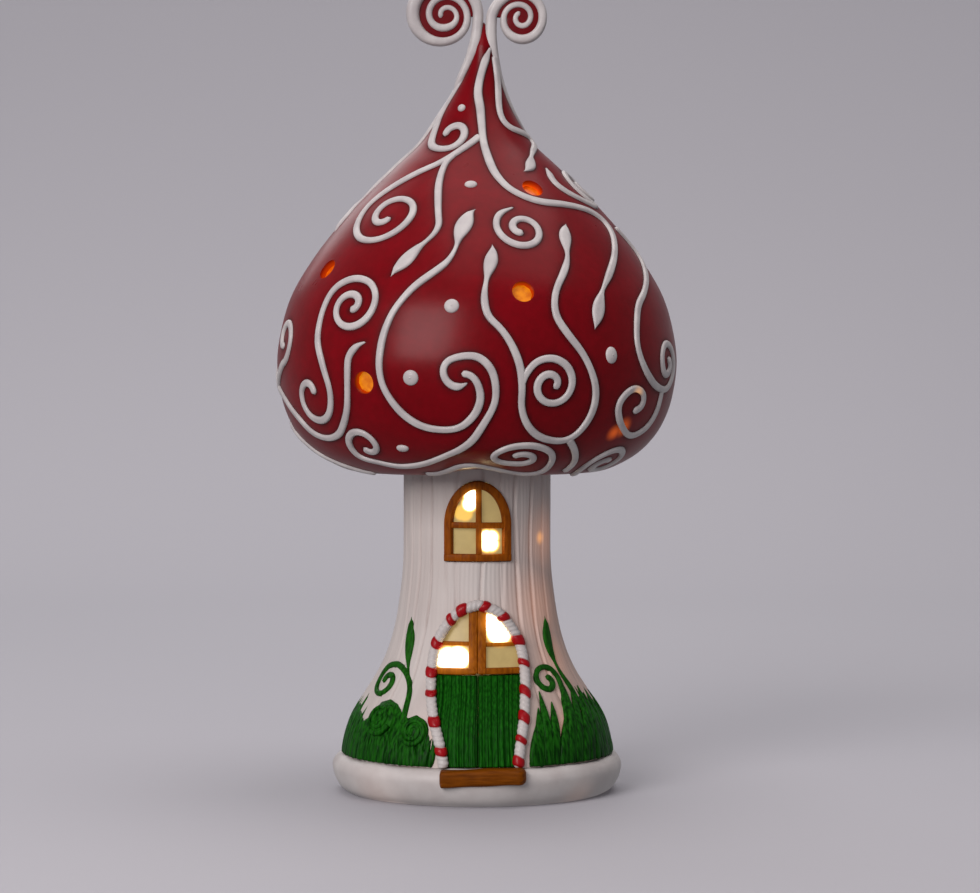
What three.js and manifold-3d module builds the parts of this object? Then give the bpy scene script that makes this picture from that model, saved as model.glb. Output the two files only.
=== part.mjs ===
// Mushroom house: a battery-lit table decoration with a scrolled cap on a fluted stem.
// Millimetres, +Z up, the door faces -Y, and the origin is the middle of the face it stands on.
import * as THREE from 'three';
import { mergeVertices } from 'three/addons/utils/BufferGeometryUtils.js';
import Module from 'manifold-3d';

// Snow base and base plate
const BASE_FOOT_RADIUS = 57;
const BASE_BULGE = 3.5;
const BASE_HEIGHT = 15.5;
const BASE_LEDGE_RADIUS = 42;
const PLATE_RADIUS = 49.7;
const PLATE_LIFT = 2;
const PLATE_THICKNESS = 3.5;

// Stem
const STEM_HEIGHT = 120.4;
const STEM_FOOT_INSET = 0.6;
const STEM_WAIST_RADIUS = 30.7;
const STEM_WALL = 4.5;
const FLUTE_COUNT = 24;
const FLUTE_DEPTH = 0.9;
const FLUTE_EDGE_SHARE = 0.14;
const FLUTE_WANDER_SHARE = 0.26;

// Cap
const CAP_RADIUS = 84.3;
const CAP_HEIGHT = 175;
const CAP_WALL = 5;
const CAP_MOUTH_MARGIN = 0.8;
const CAP_SEAT_OVERHANG = 3.3;
const TIP_LEAN = 2.9;
const LIGHT_HOLE_RADIUS = 4.5;
const LENS_THICKNESS = 1.6;
const LENS_DEPTH = 0.6;
const DOT_RADIUS = 3;
const DOT_HEIGHT = 1.4;

// Relief
const SCROLL_WIDTH = 3.5;
const SCROLL_HEIGHT = 1.5;
const CURL_RADIUS = 10;
const LEAF_WIDTH = 6.6;
const LEAF_LENGTH = 18;
const TIP_CURL_RADIUS = 13.4;
const TIP_CURL_DEPTH = 9;
const TIP_WEB_DEPTH = 4.6;
const TIP_WEB_GROOVE = 0.8;

// Leaves at the foot of the stem
const GRASS_HEIGHT = 29;
const GRASS_SKIN = 0.9;
const GRASS_RIDGE = 0.9;
const FROND_HEIGHT = 60;
const FROND_WIDTH = 2.6;

// Window and door
const WINDOW_WIDTH = 28.3;
const WINDOW_HEIGHT = 33.4;
const WINDOW_SILL_ABOVE_FOOT = 81;
const FRAME_BAND = 3.4;
const GLAZING_BAR = 2.3;
const CROSS_BAR_ABOVE_SILL = 13.4;
const FRAME_DEPTH = 4;
const FRAME_PROUD = 1.5;
const PANE_THICKNESS = 1.3;
const DOOR_HALF_WIDTH = 18.2;
const DOOR_CROWN = 64.6;
const DOOR_RAIL_ABOVE_FOOT = 36.4;
const DOOR_CENTRE = 0.6;
const DOOR_BORDER = 1.6;
const DOOR_RAIL_HEIGHT = 2.9;
const DOOR_STILE_WIDTH = 6.4;
const DOOR_BAR_ABOVE_RAIL = 11.3;
const DOOR_BAR_HEIGHT = 1.9;
const DOOR_JOINT = 0.7;
const DOOR_FRAME_PROUD = 0.9;
const DOOR_LEAF_PROUD = 0.4;
const PLANK_COUNT = 4;
const PLANK_GROOVE = 0.8;
const CANE_RADIUS = 2.35;
const CANE_OUTSET = 0.9;
const STEP_WIDTH = 35;
const STEP_DEPTH = 8;
const STEP_HEIGHT = 6.2;
const STEP_ABOVE_BASE = 0.6;
const STEP_PROUD = 1.6;
const STEP_OFFSET = 2.6;

// Battery well, cells, switch and lamps
const CELL_RADIUS = 7.1;
const CELL_LENGTH = 49.5;
const CELL_COUNT = 3;
const CELL_PITCH = 15.1;
const CELL_NUB_RADIUS = 2.6;
const CELL_NUB_HEIGHT = 1.2;
const CONTACT_SPACE = 5;
const CONTACT_THICKNESS = 0.6;
const CONTACT_CONE = [2, 3.8];
const WELL_WALL = 2;
const DOOR_PLATE = 1;
const TAB_REACH = 1.2;
const TAB_LENGTH = 7;
const TAB_SPACING = 26;
const BATTERY_DOOR_TRAVEL = 9;
const GRIP_COUNT = 4;
const GRIP_PITCH = 2;
const GRIP_WIDTH = 18;
const GRIP_DEPTH = 0.5;
const SCREW_RADIUS = 1.5;
const SCREW_HEAD_RADIUS = 2.6;
const SCREW_LENGTH = 10;
const SCREW_COUNT = 3;
const SCREW_HEAD_HEIGHT = 1.4;
const SCREW_DRIVE = 0.7;
const SWITCH_TRAVEL = 2.5;
const SWITCH_Y = -33;
const KNOB_WIDTH = 3.4;
const KNOB_DEPTH = 2.4;
const KNOB_FOOT_Z = 0.8;
const KNOB_FLANGE = 7;
const KNOB_FLANGE_HEIGHT = 1.5;
const SWITCH_WALL = 1.2;
const BOARD_WIDTH = 12;
const BOARD_THICKNESS = 1.6;
const BOARD_HEIGHT = 146;
const BOARD_Y = 8.8;
const SOCKET_WALL = 2;
const SOCKET_HEIGHT = 5;
const LAMP_RADIUS = 2.5;
const LAMP_LENGTH = 7;
const LEAD_RADIUS = 0.9;

// Clearances; a cutter runs THROUGH past a face, and FACET_SLACK is what the stem's facets need
const SEAT_GAP = 0.3;
const SLIDE_GAP = 0.4;
const FACET_SLACK = 0.65;
const THROUGH = 1;

// Colours with roughness, as seen
const PAINT = {
  cap: [0x7c0612, 0.25],
  white: [0xe6ded8, 0.5],
  stem: [0xe9e0da, 0.6],
  snow: [0xe4dfe2, 0.55],
  brown: [0x8a4a10, 0.5],
  green: [0x1d5a20, 0.5],
  cane: [0xe8dcd8, 0.45],
  pane: [0xf4dc98, 0.35],
  lens: [0xe8860c, 0.25],
  black: [0x232323, 0.5],
  steel: [0xb9bcc0, 0.3],
  cell: [0x50606a, 0.4],
  board: [0xd8d8d2, 0.6],
  lead: [0xb02020, 0.5],
};

const degrees = THREE.MathUtils.degToRad;
const wasm = await Module();
wasm.setup();

// A closed three.js geometry as a solid that can be cut and joined
function solidOf(geometry) {
  const bare = geometry.clone();
  bare.deleteAttribute('normal');
  bare.deleteAttribute('uv');
  const merged = mergeVertices(bare, 1e-4);
  const mesh = new wasm.Mesh({
    numProp: 3,
    vertProperties: Float32Array.from(merged.attributes.position.array),
    triVerts: Uint32Array.from(merged.index.array),
  });
  return new wasm.Manifold(mesh);
}

function geometryOf(solid) {
  const mesh = solid.getMesh();
  const geometry = new THREE.BufferGeometry();
  geometry.setAttribute('position', new THREE.BufferAttribute(Float32Array.from(mesh.vertProperties), 3));
  geometry.setIndex(Array.from(mesh.triVerts));
  geometry.computeVertexNormals();
  return geometry;
}

const joined = (solids) => solids.reduce((sum, solid) => sum.add(solid));

// A box given by its lowest and highest corner
function block(low, high) {
  const size = high.map((value, axis) => value - low[axis]);
  const geometry = new THREE.BoxGeometry(...size);
  geometry.translate(...low.map((value, axis) => value + size[axis] / 2));
  return solidOf(geometry);
}

// A profile of [radius, height] points turned about the Z axis, from the axis back to it or closed
function turned(profile, segments) {
  const points = profile.map(([radius, height]) => new THREE.Vector2(radius, height));
  const geometry = new THREE.LatheGeometry(points, segments);
  geometry.rotateX(Math.PI / 2);
  return geometry;
}

// A cylinder between two points
function rod(start, end, radius, segments) {
  const from = new THREE.Vector3(...start);
  const along = new THREE.Vector3(...end).sub(from);
  const geometry = new THREE.CylinderGeometry(radius, radius, along.length(), segments);
  const turn = new THREE.Quaternion().setFromUnitVectors(
    new THREE.Vector3(0, 1, 0),
    along.clone().normalize(),
  );
  geometry.applyQuaternion(turn);
  geometry.translate(...from.addScaledVector(along, 0.5).toArray());
  return solidOf(geometry);
}

// An outline in X and Z carried straight towards the viewer, from one depth to another
function frontBlock(shape, near, far, curveSegments = 12) {
  const options = { depth: far - near, bevelEnabled: false, curveSegments };
  const geometry = new THREE.ExtrudeGeometry(shape, options);
  geometry.rotateX(Math.PI / 2);
  geometry.translate(0, -near, 0);
  return solidOf(geometry);
}

// A surface of revolution read by azimuth, in degrees from the front, and by share of its profile
class TurnedSurface {
  constructor(profile, lean = () => 0) {
    this.curve = new THREE.SplineCurve(profile.map(([r, z]) => new THREE.Vector2(r, z)));
    this.curve.arcLengthDivisions = 400;
    this.length = this.curve.getLength();
    this.lean = lean;
    this.rings = [];
  }

  at(share) {
    const held = THREE.MathUtils.clamp(share, 0, 1);
    const point = this.curve.getPointAt(held);
    const along = this.curve.getTangentAt(held);
    return { radius: point.x, height: point.y, normal: [along.y, -along.x] };
  }

  profile(share, offset = 0) {
    const { radius, height, normal } = this.at(share);
    return [radius + offset * normal[0], height + offset * normal[1]];
  }

  // How far the flat facet between two rings stands proud of the hollow curve
  slack(share) {
    const above = this.rings.findIndex((ring) => ring > share);
    if (above < 1) return 0;
    const low = this.profile(this.rings[above - 1]);
    const high = this.profile(this.rings[above]);
    const { radius, height, normal } = this.at(share);
    const facet = [high[0] - low[0], high[1] - low[1]];
    const reach = (radius - low[0]) * facet[1] - (height - low[1]) * facet[0];
    return Math.max(0, -reach / (facet[1] * normal[0] - facet[0] * normal[1]));
  }

  point(azimuth, share, offset = 0) {
    const [radius, height] = this.profile(share, offset);
    const angle = degrees(azimuth);
    const x = radius * Math.sin(angle) + this.lean(height);
    return new THREE.Vector3(x, -radius * Math.cos(angle), height);
  }

  normal(azimuth, share) {
    const [outward, upward] = this.at(share).normal;
    const angle = degrees(azimuth);
    return new THREE.Vector3(outward * Math.sin(angle), -outward * Math.cos(angle), upward);
  }

  // The share at which the rising part of the profile reaches a height
  shareAt(height, from = 0) {
    let low = from;
    let high = 1;
    for (let step = 0; step < 30; step += 1) {
      const middle = (low + high) / 2;
      if (this.at(middle).height < height) low = middle;
      else high = middle;
    }
    return (low + high) / 2;
  }
}

// Heights and radii that follow from the sizes above
const stemFootRadius = BASE_FOOT_RADIUS - STEM_FOOT_INSET;
const stemFootZ = BASE_HEIGHT + SEAT_GAP;
const stemTopZ = stemFootZ + STEM_HEIGHT;
const capSeatZ = stemTopZ + SEAT_GAP;
const capTopZ = capSeatZ + CAP_HEIGHT;

// Stem outline as shares: [height, how far the flare has opened from waist to foot]
const STEM_FLARE = [
  [0, 1],
  [0.1, 0.89],
  [0.16, 0.775],
  [0.22, 0.61],
  [0.283, 0.424],
  [0.356, 0.268],
  [0.44, 0.15],
  [0.545, 0.065],
  [0.66, 0.01],
  [0.8, 0],
  [1, 0],
];
const stemSurface = new TurnedSurface(STEM_FLARE.map(([height, open]) => [
  STEM_WAIST_RADIUS + (stemFootRadius - STEM_WAIST_RADIUS) * open,
  stemFootZ + STEM_HEIGHT * height,
]));

stemSurface.rings = STEM_FLARE.map(([height]) => stemSurface.shareAt(stemFootZ + STEM_HEIGHT * height));

// Cap outline as shares of its radius and height, from the lip up to the tip
const CAP_OUTLINE = [
  [0.534, -0.0103],
  [0.641, -0.0091],
  [0.777, 0.0217],
  [0.868, 0.06],
  [0.932, 0.1057],
  [0.977, 0.1657],
  [1, 0.2486],
  [0.977, 0.3314],
  [0.925, 0.4086],
  [0.83, 0.4857],
  [0.712, 0.5606],
  [0.569, 0.6371],
  [0.407, 0.7131],
  [0.279, 0.7714],
  [0.18, 0.8429],
  [0.11, 0.9086],
  [0.071, 0.9629],
  [0.059, 1],
];
const capMouthRadius = STEM_WAIST_RADIUS - STEM_WALL + CAP_MOUTH_MARGIN;
const capSeatRadius = STEM_WAIST_RADIUS + CAP_SEAT_OVERHANG;
const leanStartZ = capSeatZ + CAP_HEIGHT * 0.82;
const leanEndZ = capSeatZ + CAP_HEIGHT * 0.98;
const capLean = (height) => TIP_LEAN * THREE.MathUtils.smoothstep(height, leanStartZ, leanEndZ);
const capSurface = new TurnedSurface(
  [
    [capMouthRadius, capSeatZ],
    [capSeatRadius, capSeatZ],
    ...CAP_OUTLINE.map(([radius, height]) => [CAP_RADIUS * radius, capSeatZ + CAP_HEIGHT * height]),
  ],
  capLean,
);

function leaned(geometry) {
  const place = geometry.attributes.position;
  for (let index = 0; index < place.count; index += 1) {
    place.setX(index, place.getX(index) + capLean(place.getZ(index)));
  }
  return geometry;
}

// Shares along the cap profile at which its rings lie, closer where it bends
const capRings = [0, 0.03, 0.09, 0.14, 0.19, 0.245, 0.305, 0.365, 0.425, 0.49,
  0.56, 0.64, 0.7, 0.76, 0.81, 0.85, 0.885, 0.925, 0.96, 1];
const CAP_SEGMENTS = 44;
capSurface.rings = capRings;

function capEnvelope(offset) {
  const outer = capRings.map((share) => capSurface.profile(share, offset));
  const bottom = outer[0][1];
  const top = outer[outer.length - 1][1];
  return solidOf(leaned(turned([[0, bottom], ...outer, [0, top]], CAP_SEGMENTS)));
}

// Light holes as [azimuth, share along the cap profile]
const LIGHT_HOLES = {
  front_top: [31, 0.697],
  front_middle: [14, 0.476],
  front_low: [-32.5, 0.322],
  left: [-58, 0.52],
  back_right: [148, 0.55],
  back_left: [-140, 0.38],
};
const HOLE_SIDES = 10;

function alongNormal(azimuth, share, from, to, radius) {
  const foot = capSurface.point(azimuth, share);
  const out = capSurface.normal(azimuth, share);
  const start = foot.clone().addScaledVector(out, from).toArray();
  const end = foot.clone().addScaledVector(out, to).toArray();
  return rod(start, end, radius, HOLE_SIDES);
}

// White dots as [azimuth, share, radius share]
const DOTS = [
  [-27, 0.885, 0.5],
  [-3, 0.704, 0.8],
  [-7, 0.45, 1],
  [-18, 0.331, 1.05],
  [-24, 0.203, 0.7],
  [40, 0.367, 1],
  [170, 0.5, 1],
  [-165, 0.62, 0.8],
];

function dot(azimuth, share, size) {
  const radius = DOT_RADIUS * size;
  const outline = [[0, -0.7], [1, -0.7], [1, 0.3], [0.6, 0.8], [0, 1]];
  const dome = turned(outline.map(([across, up]) => [radius * across, DOT_HEIGHT * up]), 8);
  const out = capSurface.normal(azimuth, share);
  const turn = new THREE.Quaternion().setFromUnitVectors(new THREE.Vector3(0, 0, 1), out);
  dome.applyQuaternion(turn);
  dome.translate(...capSurface.point(azimuth, share).toArray());
  return solidOf(dome);
}

function capShell() {
  const inner = capRings
    .filter((share) => share > 0.05)
    .filter((share, index) => index % 2 === 0)
    .map((share) => capSurface.profile(share, -CAP_WALL))
    .filter(([radius]) => radius > CAP_WALL);
  const roof = inner[inner.length - 1][1];
  const mouthZ = capSeatZ + CAP_WALL;
  const hollow = turned([
    [0, capSeatZ - CAP_WALL],
    [capMouthRadius, capSeatZ - CAP_WALL],
    [capMouthRadius, mouthZ],
    ...inner.filter(([, height]) => height > mouthZ),
    [0, roof],
  ], CAP_SEGMENTS / 2);
  let shell = capEnvelope(0).subtract(solidOf(leaned(hollow)));
  for (const [azimuth, share] of Object.values(LIGHT_HOLES)) {
    shell = shell.subtract(alongNormal(azimuth, share, -CAP_WALL * 1.6, CAP_WALL, LIGHT_HOLE_RADIUS));
  }
  for (const [azimuth, share, size] of DOTS) {
    shell = shell.add(dot(azimuth, share, size));
  }
  return shell;
}

function lens(azimuth, share) {
  const back = -CAP_WALL + LENS_DEPTH;
  return alongNormal(azimuth, share, back, back + LENS_THICKNESS, LIGHT_HOLE_RADIUS - SEAT_GAP);
}

// How far the surface bulges past the straight line between two neighbouring points of a path
function bulge(surface, path, index) {
  if (index < 0 || index > path.length - 2) return 0;
  const [azimuth, share] = path[index].map((value, axis) => (value + path[index + 1][axis]) / 2);
  const middle = surface.point(...path[index]).add(surface.point(...path[index + 1])).multiplyScalar(0.5);
  return Math.max(0, surface.point(azimuth, share).sub(middle).dot(surface.normal(azimuth, share)));
}

// Distance off the surface at which a path's straight pieces and the surface's facets stay clear
function clearance(surface, path, index) {
  const bend = Math.max(bulge(surface, path, index - 1), bulge(surface, path, index));
  return SEAT_GAP + bend + surface.slack(path[index][1]);
}

// A strip of relief along a path on a surface: four corners at each step, wide at its foot
const STRIP_TOP_SHARE = 0.55;
function strip(surface, path, widths, height) {
  const places = path.map(([azimuth, share]) => surface.point(azimuth, share));
  const positions = [];
  path.forEach(([azimuth, share], index) => {
    const before = places[Math.max(index - 1, 0)];
    const after = places[Math.min(index + 1, places.length - 1)];
    const out = surface.normal(azimuth, share);
    const side = out.clone().cross(after.clone().sub(before)).normalize();
    const half = widths[index] / 2;
    const rise = height * Math.min(1, 0.45 + half / SCROLL_WIDTH);
    const lift = clearance(surface, path, index);
    const top = half * STRIP_TOP_SHARE;
    for (const [across, up] of [[-half, 0], [half, 0], [top, rise], [-top, rise]]) {
      const corner = places[index].clone();
      corner.addScaledVector(out, lift + up);
      corner.addScaledVector(side, across);
      positions.push(...corner.toArray());
    }
  });
  const index = [];
  const last = path.length - 1;
  for (let step = 0; step < last; step += 1) {
    for (let corner = 0; corner < 4; corner += 1) {
      const a = step * 4 + corner;
      const b = step * 4 + ((corner + 1) % 4);
      index.push(a, b, b + 4, a, b + 4, a + 4);
    }
  }
  const end = last * 4;
  index.push(0, 2, 1, 0, 3, 2, end, end + 1, end + 2, end, end + 2, end + 3);
  const geometry = new THREE.BufferGeometry();
  geometry.setAttribute('position', new THREE.Float32BufferAttribute(positions, 3));
  geometry.setIndex(index);
  return solidOf(geometry);
}

// A spiral on a surface round a centre: its radius shrinks evenly as it winds in.
// Turns are counter-clockwise when positive, seen from outside, from is its first angle, start
// and end are shares of CURL_RADIUS, and rise flattens it.
const CURL_STEP_DEGREES = 41;
function curlPath(surface, { centre, from, turns, start, end, rise = 1 }) {
  const steps = Math.ceil(Math.abs(turns) * 360 / CURL_STEP_DEGREES);
  const [azimuth, share] = centre;
  const path = [];
  for (let step = 0; step <= steps; step += 1) {
    const wound = step / steps;
    const radius = CURL_RADIUS * (start + (end - start) * wound);
    const angle = degrees(from + 360 * turns * wound);
    const height = share + rise * radius * Math.sin(angle) / surface.length;
    const around = radius * Math.cos(angle) / surface.at(height).radius;
    path.push([azimuth + THREE.MathUtils.radToDeg(around), height]);
  }
  return path;
}

// A vine: stem points [azimuth, share] with a curl or a leaf at either end. Its steps are short
// enough for their chords to stay within VINE_SAG of the surface.
const VINE_STEP = 9;
const VINE_SAG = 0.3;
function vinePath(surface, vine) {
  const { stem = [], first, last } = vine;
  const key = [
    ...(first ? curlPath(surface, first).reverse() : []),
    ...stem,
    ...(last ? curlPath(surface, last) : []),
  ];
  const curve = new THREE.SplineCurve(key.map(([azimuth, share]) => new THREE.Vector2(azimuth, share)));
  const path = [key[0]];
  for (let index = 0; index < key.length - 1; index += 1) {
    const span = surface.point(...key[index]).distanceTo(surface.point(...key[index + 1]));
    const step = Math.min(VINE_STEP, Math.sqrt(8 * VINE_SAG * surface.at(key[index][1]).radius));
    const parts = Math.max(1, Math.round(span / step));
    for (let part = 1; part <= parts; part += 1) {
      const point = curve.getPoint((index + part / parts) / (key.length - 1));
      path.push([point.x, point.y]);
    }
  }
  return path;
}

// Widths along a path: ends draw in, and a leaf swells over its length and then comes to a point.
// The vine is pinched to LEAF_NECK of its width where the leaf begins.
const VINE_END = 3;
const LEAF_POINT = 0.5;
const LEAF_NECK = 0.6;
function vineWidths(surface, path, { leafFirst, leafLast, width = SCROLL_WIDTH, fatten = 0 }) {
  const run = [0];
  for (let index = 1; index < path.length; index += 1) {
    const step = surface.point(...path[index]).distanceTo(surface.point(...path[index - 1]));
    run.push(run[index - 1] + step);
  }
  const total = run[run.length - 1];
  return run.map((distance) => {
    let wide = width * (1 + fatten * (1 - distance / total));
    const ends = [[distance, leafFirst], [total - distance, leafLast]];
    for (const [toEnd, leaf] of ends) {
      const reach = toEnd / (leaf ? leaf * LEAF_LENGTH : VINE_END);
      if (leaf && reach < 1) {
        const swell = LEAF_WIDTH * Math.sin(Math.PI * reach) * (1 - reach * 0.3);
        wide = Math.max(LEAF_POINT, wide * LEAF_NECK * reach + swell);
      } else if (leaf) {
        wide *= Math.min(1, LEAF_NECK + (1 - LEAF_NECK) * (reach - 1) * 2);
      } else if (reach < 1) {
        wide *= 0.6 + 0.4 * reach;
      }
    }
    return wide;
  });
}

function vine(surface, details) {
  const path = vinePath(surface, details);
  return strip(surface, path, vineWidths(surface, path, details), SCROLL_HEIGHT);
}

// Scrolls on the cap, each a list of branches that grow into one another
const SCROLLS = {
  scroll_heart: [{
    stem: [[-1, 0.655], [-5, 0.61], [-8, 0.55], [-13, 0.51], [-19, 0.476], [-24, 0.448], [-27, 0.406],
      [-28, 0.365], [-27, 0.33], [-25, 0.295], [-21, 0.265], [-16, 0.247], [-10, 0.242], [-4.5, 0.247],
      [-0.5, 0.269], [1.2, 0.295], [0.5, 0.32], [-2.5, 0.335]],
    leafFirst: 1.1,
  }],
  scroll_long_tail: [{
    stem: [[-8.5, 0.335], [-8, 0.355], [-4, 0.367], [1, 0.364], [4.2, 0.344], [5.4, 0.315], [5, 0.286],
      [2, 0.251], [-2, 0.216], [-9, 0.188], [-19, 0.16], [-29, 0.151], [-37, 0.163]],
    last: { centre: [-37.5, 0.206], from: 225, turns: -1.05, start: 1, end: 0.22 },
  }],
  scroll_left: [{
    first: { centre: [-38.5, 0.452], from: 180, turns: -1.85, start: 1.7, end: 0.2 },
    stem: [[-50.5, 0.4], [-47, 0.352]],
    last: { centre: [-54.5, 0.298], from: 10, turns: -1, start: 1.35, end: 0.28 },
  }],
  scroll_left_low: [{
    stem: [[-32, 0.389], [-36, 0.382], [-38, 0.361], [-39, 0.329], [-39.5, 0.294], [-42, 0.255], [-47, 0.229],
      [-54, 0.22], [-61, 0.23], [-67, 0.258], [-76, 0.292], [-88, 0.318], [-97, 0.35]],
  }, {
    stem: [[-84, 0.31], [-73, 0.348]],
    last: { centre: [-72.5, 0.392], from: 300, turns: 0.95, start: 1, end: 0.26 },
  }],
  scroll_lyre: [{
    stem: [[5.5, 0.582], [5, 0.545], [3, 0.49], [2, 0.457], [4, 0.429], [7, 0.411], [10, 0.388], [12, 0.361],
      [12, 0.331], [12, 0.301], [13, 0.272], [16, 0.247], [20.5, 0.225], [25.5, 0.218], [30, 0.224],
      [33.3, 0.245], [35.2, 0.276], [35, 0.31], [33, 0.34], [30, 0.371], [26.5, 0.398], [24, 0.424],
      [23, 0.45], [24, 0.48], [29, 0.52], [33, 0.55], [36, 0.612]],
    leafFirst: 1.1,
    leafLast: 1.1,
  }, {
    stem: [[12, 0.318]],
    last: { centre: [20.8, 0.319], from: 165, turns: -1.6, start: 1.25, end: 0.2 },
  }, {
    stem: [[29, 0.224], [34, 0.194], [37.5, 0.16], [38, 0.128]],
  }],
  scroll_small: [{
    last: { centre: [17, 0.604], from: 95, turns: 1.5, start: 1.3, end: 0.22 },
  }],
  scroll_right: [{
    stem: [[76, 0.61], [77, 0.578], [75.5, 0.544], [69, 0.503], [60, 0.474], [55, 0.446], [51, 0.402],
      [51, 0.365], [55, 0.333], [61, 0.31]],
    last: { centre: [68.5, 0.352], from: 250, turns: 1.5, start: 1.15, end: 0.2 },
  }, {
    stem: [[66, 0.31], [66.5, 0.285]],
    last: { centre: [54.5, 0.272], from: 5, turns: -1.35, start: 1.6, end: 0.35 },
  }],
  scroll_rim_front: [{
    stem: [[-22, 0.118], [-17, 0.112], [-11, 0.125], [-6, 0.142], [-1, 0.142], [5, 0.126], [14, 0.108],
      [22, 0.108], [27.5, 0.13]],
    last: { centre: [14.5, 0.178], from: -10, turns: 1.5, start: 1.5, end: 0.25, rise: 0.62 },
  }],
  scroll_rim_right: [{
    stem: [[50, 0.1], [46, 0.13]],
    last: { centre: [55, 0.155], from: 165, turns: -1.3, start: 1.1, end: 0.25 },
  }],
  scroll_rim_left: [{
    stem: [[-50, 0.11], [-60, 0.135], [-71, 0.175], [-82, 0.22], [-92, 0.24]],
    last: { centre: [-97, 0.2], from: 70, turns: 1.2, start: 1.1, end: 0.25 },
  }],
  scroll_back_heart: [{
    stem: [[-172, 0.58], [-166, 0.53], [-155, 0.485], [-146, 0.455], [-140, 0.425]],
    last: { centre: [-153, 0.345], from: 38, turns: -1.5, start: 2.3, end: 0.3 },
    leafFirst: 1,
  }],
  scroll_back_lyre: [{
    first: { centre: [161, 0.36], from: 195, turns: -1.5, start: 1.5, end: 0.25 },
    stem: [[149, 0.315], [150, 0.28], [155, 0.245], [163, 0.226], [172, 0.232], [178, 0.27], [179, 0.33],
      [176, 0.4], [170, 0.46]],
    leafLast: 1,
  }],
  scroll_back_right: [{
    stem: [[114, 0.6], [113, 0.54], [118, 0.48], [122, 0.42], [122, 0.365]],
    last: { centre: [108.5, 0.305], from: 28, turns: -1.45, start: 1.8, end: 0.3 },
    leafFirst: 1,
  }],
  scroll_back_left: [{
    stem: [[-116, 0.58], [-108, 0.54], [-102, 0.5], [-99.5, 0.45]],
    last: { centre: [-112, 0.4], from: 22, turns: -1.4, start: 1.7, end: 0.3 },
    leafFirst: 1,
  }],
  scroll_rim_back: [{
    first: { centre: [-165, 0.172], from: -25, turns: 1.3, start: 1.3, end: 0.25 },
    stem: [[-152, 0.14], [-144, 0.132], [-135, 0.14]],
    last: { centre: [-123, 0.178], from: 212, turns: 1.2, start: 1.2, end: 0.25 },
  }],
  vine_neck_left: [{
    stem: [[-84, 0.962], [-82, 0.94], [-74, 0.895], [-66, 0.86]],
    last: { centre: [-33, 0.823], from: 172, turns: 1.05, start: 0.92, end: 0.3 },
    fatten: 0.3,
  }, {
    stem: [[-76, 0.9], [-84, 0.84], [-90, 0.78], [-91, 0.72], [-87, 0.67], [-79, 0.6]],
    leafLast: 0.92,
  }, {
    stem: [[-84, 0.955], [-105, 0.94], [-125, 0.9], [-143, 0.84], [-152, 0.785], [-156, 0.755]],
    last: { centre: [-166, 0.71], from: 62, turns: -1.4, start: 1.4, end: 0.26 },
  }],
  vine_neck_right: [{
    stem: [[44, 0.962], [18, 0.95], [-6, 0.92], [-3, 0.885], [5, 0.845], [7, 0.81], [9, 0.763], [12, 0.72],
      [19, 0.686], [28, 0.67], [39, 0.66], [50, 0.655], [60, 0.635], [63.5, 0.605], [59, 0.565], [53, 0.53],
      [45, 0.49], [36, 0.42]],
    leafLast: 1.1,
  }, {
    stem: [[5, 0.832], [-10, 0.788], [-21, 0.762], [-34, 0.74], [-48, 0.722]],
    last: { centre: [-42, 0.637], from: 118, turns: 1.75, start: 2.1, end: 0.26 },
  }, {
    stem: [[-19, 0.765], [-22, 0.715], [-18, 0.655], [-16, 0.61], [-18.5, 0.572], [-23, 0.545],
      [-28.5, 0.505]],
    leafLast: 0.92,
  }, {
    stem: [[30, 0.955], [36, 0.93], [31, 0.885], [38, 0.853], [58, 0.838], [76, 0.828], [72, 0.805],
      [52, 0.785], [42, 0.765], [33, 0.733]],
    leafLast: 0.58,
  }, {
    stem: [[40, 0.959], [66, 0.95], [86, 0.91], [98, 0.86], [107, 0.81], [112, 0.775]],
    last: { centre: [125, 0.72], from: 138, turns: 1.4, start: 1.35, end: 0.26 },
  }, {
    stem: [[59, 0.642]],
    last: { centre: [74, 0.705], from: 235, turns: -1.45, start: 1.45, end: 0.26 },
  }],
};

// The two curls on the tip lie in the X-Z plane and wind towards each other's outside. Their
// places, radii and bands are shares of TIP_CURL_RADIUS.
const CURLS = {
  left: { x: -0.985, above: 1.082, start: 1, end: 0.112, turns: 2.45, side: 1, band: 0.373, foot: -0.24 },
  right: { x: 1.396, above: 1, start: 0.836, end: 0.097, turns: 2.1, side: -1, band: 0.328, foot: 0.47 },
};
const CURL_SIDES = 16;

function curlPoint({ x, above, start, end, turns, side }, wound, outward) {
  const angle = 2 * Math.PI * turns * wound;
  const radius = TIP_CURL_RADIUS * (start + (end - start) * wound ** 1.1) + outward;
  return [
    TIP_CURL_RADIUS * x + side * radius * Math.cos(angle),
    capTopZ + TIP_CURL_RADIUS * above + radius * Math.sin(angle),
  ];
}

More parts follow.
